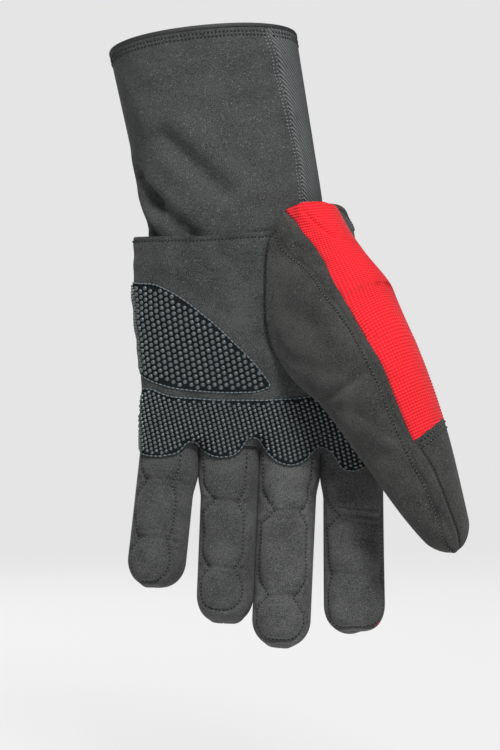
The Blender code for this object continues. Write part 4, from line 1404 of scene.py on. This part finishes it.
# %% Grip patch
GRIP_CUTS = (34.0, 62.0, 94.5, 126.0, 184.0)
grip_top = curve(((88, 34), (86, 48), (85.4, 60), (86.7, 76), (86.7, 119), (85.4, 137), (82.4, 158),
                  (84.5, 168), (98, 176), (104, 184)))
SCALLOPS = {
    "index": ((117, 34), (118.6, 43), (117, 50), (111, 55), (108.4, 59), (108, 62)),
    "middle": ((108, 62), (108.6, 64.5), (113, 69), (116, 78), (111, 87), (104.6, 91.5), (103.6, 94.5)),
    "ring": ((103.6, 94.5), (104.4, 97), (109.5, 101), (112.5, 109), (109.5, 119), (106, 123.5),
             (105.4, 126)),
    "little": ((105.4, 126), (106, 128), (109.8, 133), (111.7, 142), (112, 156), (111, 170),
               (109.5, 184)),
}
for name, low, high in zip(("index", "middle", "ring", "little"), GRIP_CUTS, GRIP_CUTS[1:]):
    bottom = curve(SCALLOPS[name])
    dots = dot_places(grip_top, bottom, low, high, 98, (2.18, 1.8), 0.18, 1.0, closed=False)
    turns = np.linspace(low, high, 160)
    cords = [(grip_top(turns), turns), (bottom(turns), turns)]
    grip = make_patch(f"{name}_grip_rubber", grip_top, bottom, low, high, dots, 0.9 * MM, cords)
    grip_patch = grip.finish()
    tube = FINGERS[name]
    ends = [tuple(tube.frame(np.array(side * ROOT_BEND))[0]) for side in (-1, 1)]
    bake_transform(grip_patch)
    wear(grip_patch, "dotted_rubber", "grip_patch")
    print(name, "grip dots", len(dots[0]))

# %% [markdown]
# ## The thumb
# The thumb is set in with a saddle: a suede front that rolls out of the palm, and a red knit band that
# starts at the wrist and runs down the outer side.  The band ends above the tip, where a suede cap
# takes over.  The saddle's edge is found by asking where its tube enters the hand.

# %% Thumb tube
THUMB_POINTS = ((45.5, -11.5, -70), (49.5, -15, -97), (57.6, -24.5, -123), (72, -36.5, -146),
                (87.6, -44, -176.2), (99.6, -47, -202), (110.4, -48, -223.4))
THUMB_WIDTHS = np.array((23, 44, 60, 50, 39, 27, 14.5))
THUMB_DEPTHS = np.array((25, 30, 36, 35, 30, 26, 19))
thumb_steps = np.linalg.norm(np.diff(np.array(THUMB_POINTS), axis=0), axis=1)
THUMB_KNOTS = np.concatenate([[0], np.cumsum(thumb_steps)])
THUMB = Tube(THUMB_KNOTS, THUMB_POINTS, THUMB_WIDTHS, THUMB_DEPTHS, 2.2, (-0.45, -0.89, 0), tip=10,
             bluntness=1.0)
THUMB_BACK = -150


def at_knots(points):
    """A smooth function of v through (distance in mm, angle) points."""
    drops, angles = np.array(points).T
    return lambda v: spline(drops * MM, angles, np.clip(v, drops[0] * MM, drops[-1] * MM))


seam_a = at_knots(((0, 165), (12, 138), (20.5, 114.5), (33.7, 85.2), (54.2, 70.9), (72.3, 65.5),
                   (87.6, 67.5), (103.2, 69.5), (117.1, 73), (131, 72.3), (144.2, 68.9), (158.1, 73),
                   (170.6, 92)))
band_edge = at_knots(((0, 150), (5.2, 113), (18.1, 77.7), (34.8, 64.1), (46.9, 63), (65, 59.5),
                      (79.9, 59.5), (91.1, 58.5), (107, 61.5), (124.4, 61.4), (129.3, 57.3),
                      (140.1, 49.1), (154.3, 45.7), (166.1, 43.6), (175, 42)))


HAND_END = 128 * MM


def hand_section(points):
    """The hand's section at the height of points: distance off centre, half sizes and squareness."""
    s = np.clip(-HAND_TOP * MM - points[..., 2], 0, HAND_END)
    half, deep = np.moveaxis(spline(HAND.knots, HAND.sizes, s), -1, 0)
    centre = spline(HAND.knots, HAND.centres, s)[..., 0]
    return np.abs(points[..., 0] - centre), half, deep, spline(HAND.knots, HAND.squareness, s)


def inside_hand(points, margin):
    """True where points lie inside the hand's tube, drawn in by margin."""
    across, half, deep, power = hand_section(points)
    through = np.abs(points[..., 1]) / (deep - margin)
    return (across / (half - margin)) ** power + through**power < 1


def entry_angle(start, end, margin):
    """For each height on the thumb, the first angle from start to end that lies inside the hand."""
    v = np.linspace(0, THUMB.end, 260)
    u = np.linspace(start, end, 400)
    inside = inside_hand(THUMB.skin(v[:, None], u[None, :]), margin)
    inside[:, -1] = True
    first = u[np.argmax(inside, axis=1)]
    return lambda at: np.interp(at, v, first)


back_limit = entry_angle(50, THUMB_BACK, 2.5 * MM)
keystone = at_knots(((0, 113), (5, 116), (11.8, 130), (16, 152), (20.9, 166), (27, 161), (34.4, 158),
                     (45.2, 161.6), (56, 165), (65.3, 167), (73.3, 182), (80, 202), (84, 210)))


def palm_front(points):
    """Where the palm's skin lies, along y, at the x and z of these points."""
    across, half, deep, power = hand_section(points)
    share = np.clip(across / half, 0, 1)
    return -deep * (1 - share**power) ** (1 / power)


SADDLE_LIP = 2.0 * MM
SADDLE_EASE = 3.0 * MM


def rest_on_palm(points, v, u, height):
    """Lifts the saddle's suede onto the palm, with an eased corner where the two meet."""
    ground = palm_front(points) - SADDLE_LIP - height
    y = points[..., 1]
    share = np.clip(0.5 + 0.5 * (ground - y) / SADDLE_EASE, 0, 1)
    eased = ground * (1 - share) + y * share - SADDLE_EASE * share * (1 - share)
    weight = smooth(0, 14, u - band_edge(v))
    settled = points.copy()
    settled[..., 1] = y + (eased - y) * weight
    return settled


THUMB_DENTS = (((8, 70), (22, 38), 0.9, 1.3), ((36, 122), (62, 96), 0.9, 5),
               ((58, 140), (80, 112), 1.1, 4), ((104, 110), (120, 84), 0.7, 3))


def thumb_relief(v, u):
    """Seam grooves, the crease above the joint and soft dents on the thumb."""
    y = v / MM
    radius = np.interp(y, THUMB_KNOTS, (THUMB_WIDTHS + THUMB_DEPTHS) / 4)
    phase = np.radians(u)
    lift = 0.55 * crumple(phase * 20, y, 8) * smooth(40, 65, u) * (1 - smooth(125, 150, u))
    to_a = np.radians(u - seam_a(v)) * radius
    lift = lift + ridge(to_a, high=-0.6, wide=0.7)
    lift = lift + 0.8 * smooth(0, 6, to_a) * smooth(0, 20, 178 - y)
    to_band = np.radians(u - band_edge(v)) * radius
    lift = lift + ridge(to_band, high=-0.5, wide=0.7) + 0.35 * smooth(0, 1.5, to_band)
    crease = y - 89 - 2.5 * np.cos(np.radians(u - 100) * 2)
    front = smooth(68, 80, u) * (1 - smooth(120, 150, u))
    lift = lift + ridge(crease, high=-2.0, wide=2.2) * front
    front = smooth(72, 90, u) * (1 - smooth(110, 130, u))
    lift = lift + ridge(crease - 8, high=-0.7, wide=2.6) * front
    for (top, turn), (foot, end), depth, width in THUMB_DENTS:
        share = np.clip((y - top) / (foot - top), 0, 1)
        line = math.radians(turn) + math.radians(end - turn) * share
        beyond = np.maximum(np.maximum(top - y, y - foot), 0)
        lift = lift + ridge(np.hypot((phase - line) * radius, beyond), high=-depth, wide=width)
    front = smooth(75, 90, u) * (1 - smooth(130, 150, u))
    lift = lift + ridge(y - 124, high=-0.5, wide=1.8) * front
    away = np.radians(turn_from(u, THUMB_BACK)) * radius
    lift = lift + ridge(away, high=-0.6, wide=0.8)
    return lift * smooth(-1, 4, THUMB.end / MM - y) * MM


THUMB.relief = thumb_relief
THUMB.settle = rest_on_palm
print("thumb length", THUMB.end)

# %% [markdown]
# Five panels cover that tube: the saddle and its knit band over the thumb's root, and the stall,
# the lower band and the cap over its joint.  The cut between them lies where neither bends much.

# %% Thumb panels
THUMB_CLOTH = 1.5 * MM
THUMB_BEND = 9 * MM
THUMB_CUT = (THUMB_KNOTS[3] + THUMB_KNOTS[4]) / 2 * MM
CREASE = THUMB_KNOTS[3] * MM
KNUCKLE = THUMB_KNOTS[4] * MM


def band_end(u):
    """The band's lower edge, slanting up to the outer side."""
    return np.interp(u, (-150, -40, 9.5, 61.4), (118.5, 118.5, 121.3, 124.4)) * MM


def band_top(u):
    """The band's upper edge, low at its inner end."""
    return np.interp(u, (-60, -36, 23, 64, 98, 116), (7.0, 6.5, 4.0, 3.4, 4.2, 6.0)) * MM


def suede_low(v):
    """The suede's edge against the band, which ends where the keystone begins."""
    return np.minimum(band_edge(v), keystone(v) - 1)


thumb_ends = {}
for joint in (CREASE, KNUCKLE):
    reaches = (joint - THUMB_BEND, joint + THUMB_BEND)
    thumb_ends[joint] = [tuple(THUMB.frame(np.array(reach))[0]) for reach in reaches]

saddle = Piece("thumb_saddle_suede", THUMB_SUEDE, DARK_THREAD, GREY_AND_GLINT_THREAD)
size = grid_size(100, 70, 0.75, 0.75)
saddle.sheet(THUMB, *spread(5 * MM, THUMB_CUT, suede_low, keystone, size), THUMB_CLOTH)
drops = np.linspace(16 * MM, THUMB_CUT, 300)
sew_sparkling(saddle, THUMB, drops, seam_a(drops) + 3.2, 1.6 * MM)
drops = np.linspace(13 * MM, 74 * MM, 300)
sew(saddle, THUMB, drops, keystone(drops) - 6, 1.6 * MM, 1)
band = Piece("thumb_saddle_knit", RED_KNIT)
size = grid_size(103, 85, 0.33, 1.0)
grid = spread(band_top, THUMB_CUT, back_limit, suede_low, size)
band.sheet(THUMB, *grid, THUMB_CLOTH, weave=knit_ribs)
stall = Piece("thumb_stall_suede", THUMB_SUEDE, DARK_THREAD, GREY_AND_GLINT_THREAD)
size = grid_size(75, 70, 0.7, 0.7)
stall.sheet(THUMB, *spread(THUMB_CUT, THUMB.end, suede_low, 360 + THUMB_BACK, size), THUMB_CLOTH)
drops = np.linspace(THUMB_CUT, 174 * MM, 300)
sew_sparkling(stall, THUMB, drops, seam_a(drops) + 3.6, 1.6 * MM)
low_band = Piece("thumb_stall_knit", RED_KNIT)
size = grid_size(24, 75, 0.33, 0.9)
grid = spread(THUMB_CUT, band_end, THUMB_BACK, suede_low, size)
low_band.sheet(THUMB, *grid, THUMB_CLOTH, weave=knit_ribs)
cap = Piece("thumb_cap_suede", THUMB_SUEDE, DARK_THREAD, GREY_AND_GLINT_THREAD)
size = grid_size(60, 70, 0.7, 0.7)
cap.sheet(THUMB, *spread(band_end, THUMB.end, THUMB_BACK, suede_low, size), THUMB_CLOTH)
drops = np.linspace(126 * MM, 172 * MM, 200)
sew(cap, THUMB, drops, band_edge(drops) - 4, 1.5 * MM, 1)
turns = np.linspace(-20, 54, 100)
for row in (1.6 * MM, 4.0 * MM):
    sew_sparkling(cap, THUMB, band_end(turns) + row, turns, 1.6 * MM)

over_crease = ("hand", "thumb_base", *thumb_ends[CREASE])
over_knuckle = ("thumb_base", "thumb_tip", *thumb_ends[KNUCKLE])
stall_nodes = ("thumb_base_front", "thumb_tip_front", "thumb_end_fold", "thumb_lining")
thumb_pieces = (
    (saddle, over_crease, "suede", ("thumb_saddle", "thumb_root_fold")),
    (band, over_crease, "red_knit", ("thumb_saddle_band",)),
    (stall, over_knuckle, "suede", stall_nodes),
    (low_band, over_knuckle, "red_knit", ("thumb_base_band",)),
    (cap, over_knuckle, "suede", ("thumb_tip_cap",)),
)
for piece, bend, slot, nodes in thumb_pieces:
    made = piece.finish()
    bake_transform(made)
    wear(made, slot, *nodes)
    piece in (saddle, stall)
    print(made.name, len(made.data.polygons))

# %% [markdown]
# ## The lining
# A fleece bag lines the hand.  It shows only down the cuff's mouth, so it is a plain tube that stays
# inside the palm.

# %% Hand lining
bag = Piece("hand_fleece", LINING_FLEECE)
size = grid_size(72, 230, 2.5, 2.5)
bag.sheet(HAND, *spread(40 * MM, 104 * MM, 0, 360, size), LINING_CLOTH, raised=-2.4 * MM)
hand_fleece = bag.finish()
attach(hand_fleece, "hand")
wear(hand_fleece, "fleece", "hand_lining")
print("hand fleece", len(hand_fleece.data.polygons))

# %% [markdown]
# ## The studio sweep
# The floor curves up into a backdrop.  The camera sees it, and the sky beyond, as an even pale paper.
# Every other ray meets a plain pale surface and a dim sky, so the dark suede keeps its own grey and
# the rubber dots do not mirror a bright room.

# %% Sweep
FLOOR = -0.34
FLOOR_FRONT = -4.5
SWEEP_BACK = 3.4
SWEEP_RADIUS = 0.5
SWEEP_TOP = 2.5
SWEEP_SIDES = (-5.0, 5.0)
PAPER = (0.9, 0.9, 0.9, 1.0)
PAPER_SHARE = 0.85
DIM_SKY = (0.09, 0.09, 0.09, 1.0)


def sweep_grid():
    """A profile carried sideways: flat floor, a quarter turn and an upright wall."""
    turn = np.linspace(0, math.pi / 2, 24)
    bend = SWEEP_BACK + SWEEP_RADIUS * np.sin(turn)
    y = np.concatenate([[FLOOR_FRONT], bend, [SWEEP_BACK + SWEEP_RADIUS]])
    z = np.concatenate([[FLOOR], FLOOR + SWEEP_RADIUS * (1 - np.cos(turn)), [SWEEP_TOP]])
    x = np.array(SWEEP_SIDES)
    points = np.stack(np.broadcast_arrays(x[None, :], y[:, None], z[:, None]), -1)
    return points.reshape(-1, 3), quads(len(y), 2)


points, faces = sweep_grid()
sweep_mesh = bpy.data.meshes.new("studio_sweep")
sweep_mesh.from_pydata(points.tolist(), [], faces.tolist())
sweep_mesh.shade_smooth()
paper = Finish("sweep_paper", 0.9)
paper.paint((0.82, 0.82, 0.82))
glow = paper.node("ShaderNodeEmission", {}, {"Color": PAPER, "Strength": 1.0})
paper.show_camera(paper.shader.outputs[0], glow.outputs[0], PAPER_SHARE)
sweep_mesh.materials.append(paper.material)
sweep = bpy.data.objects.new("studio_sweep", sweep_mesh)
bpy.context.collection.objects.link(sweep)

# %% Sky
world = bpy.data.worlds.new("studio")
bpy.context.scene.world = world
world.use_nodes = True
sky = Nodes(world.node_tree)
dim = world.node_tree.nodes["Background"]
sky.feed(dim.inputs["Color"], DIM_SKY)
pale = sky.node("ShaderNodeBackground", {}, {"Color": PAPER})
sky.show_camera(dim.outputs[0], pale.outputs[0], 1.0)
print("floor at", FLOOR, "and wall at", SWEEP_BACK)

# %% [markdown]
# ## The last update
# The dressed glove should be hardly larger than its CAD.  The script ends by bringing the scene up to
# date.

# %% Last update
bpy.context.view_layer.update()
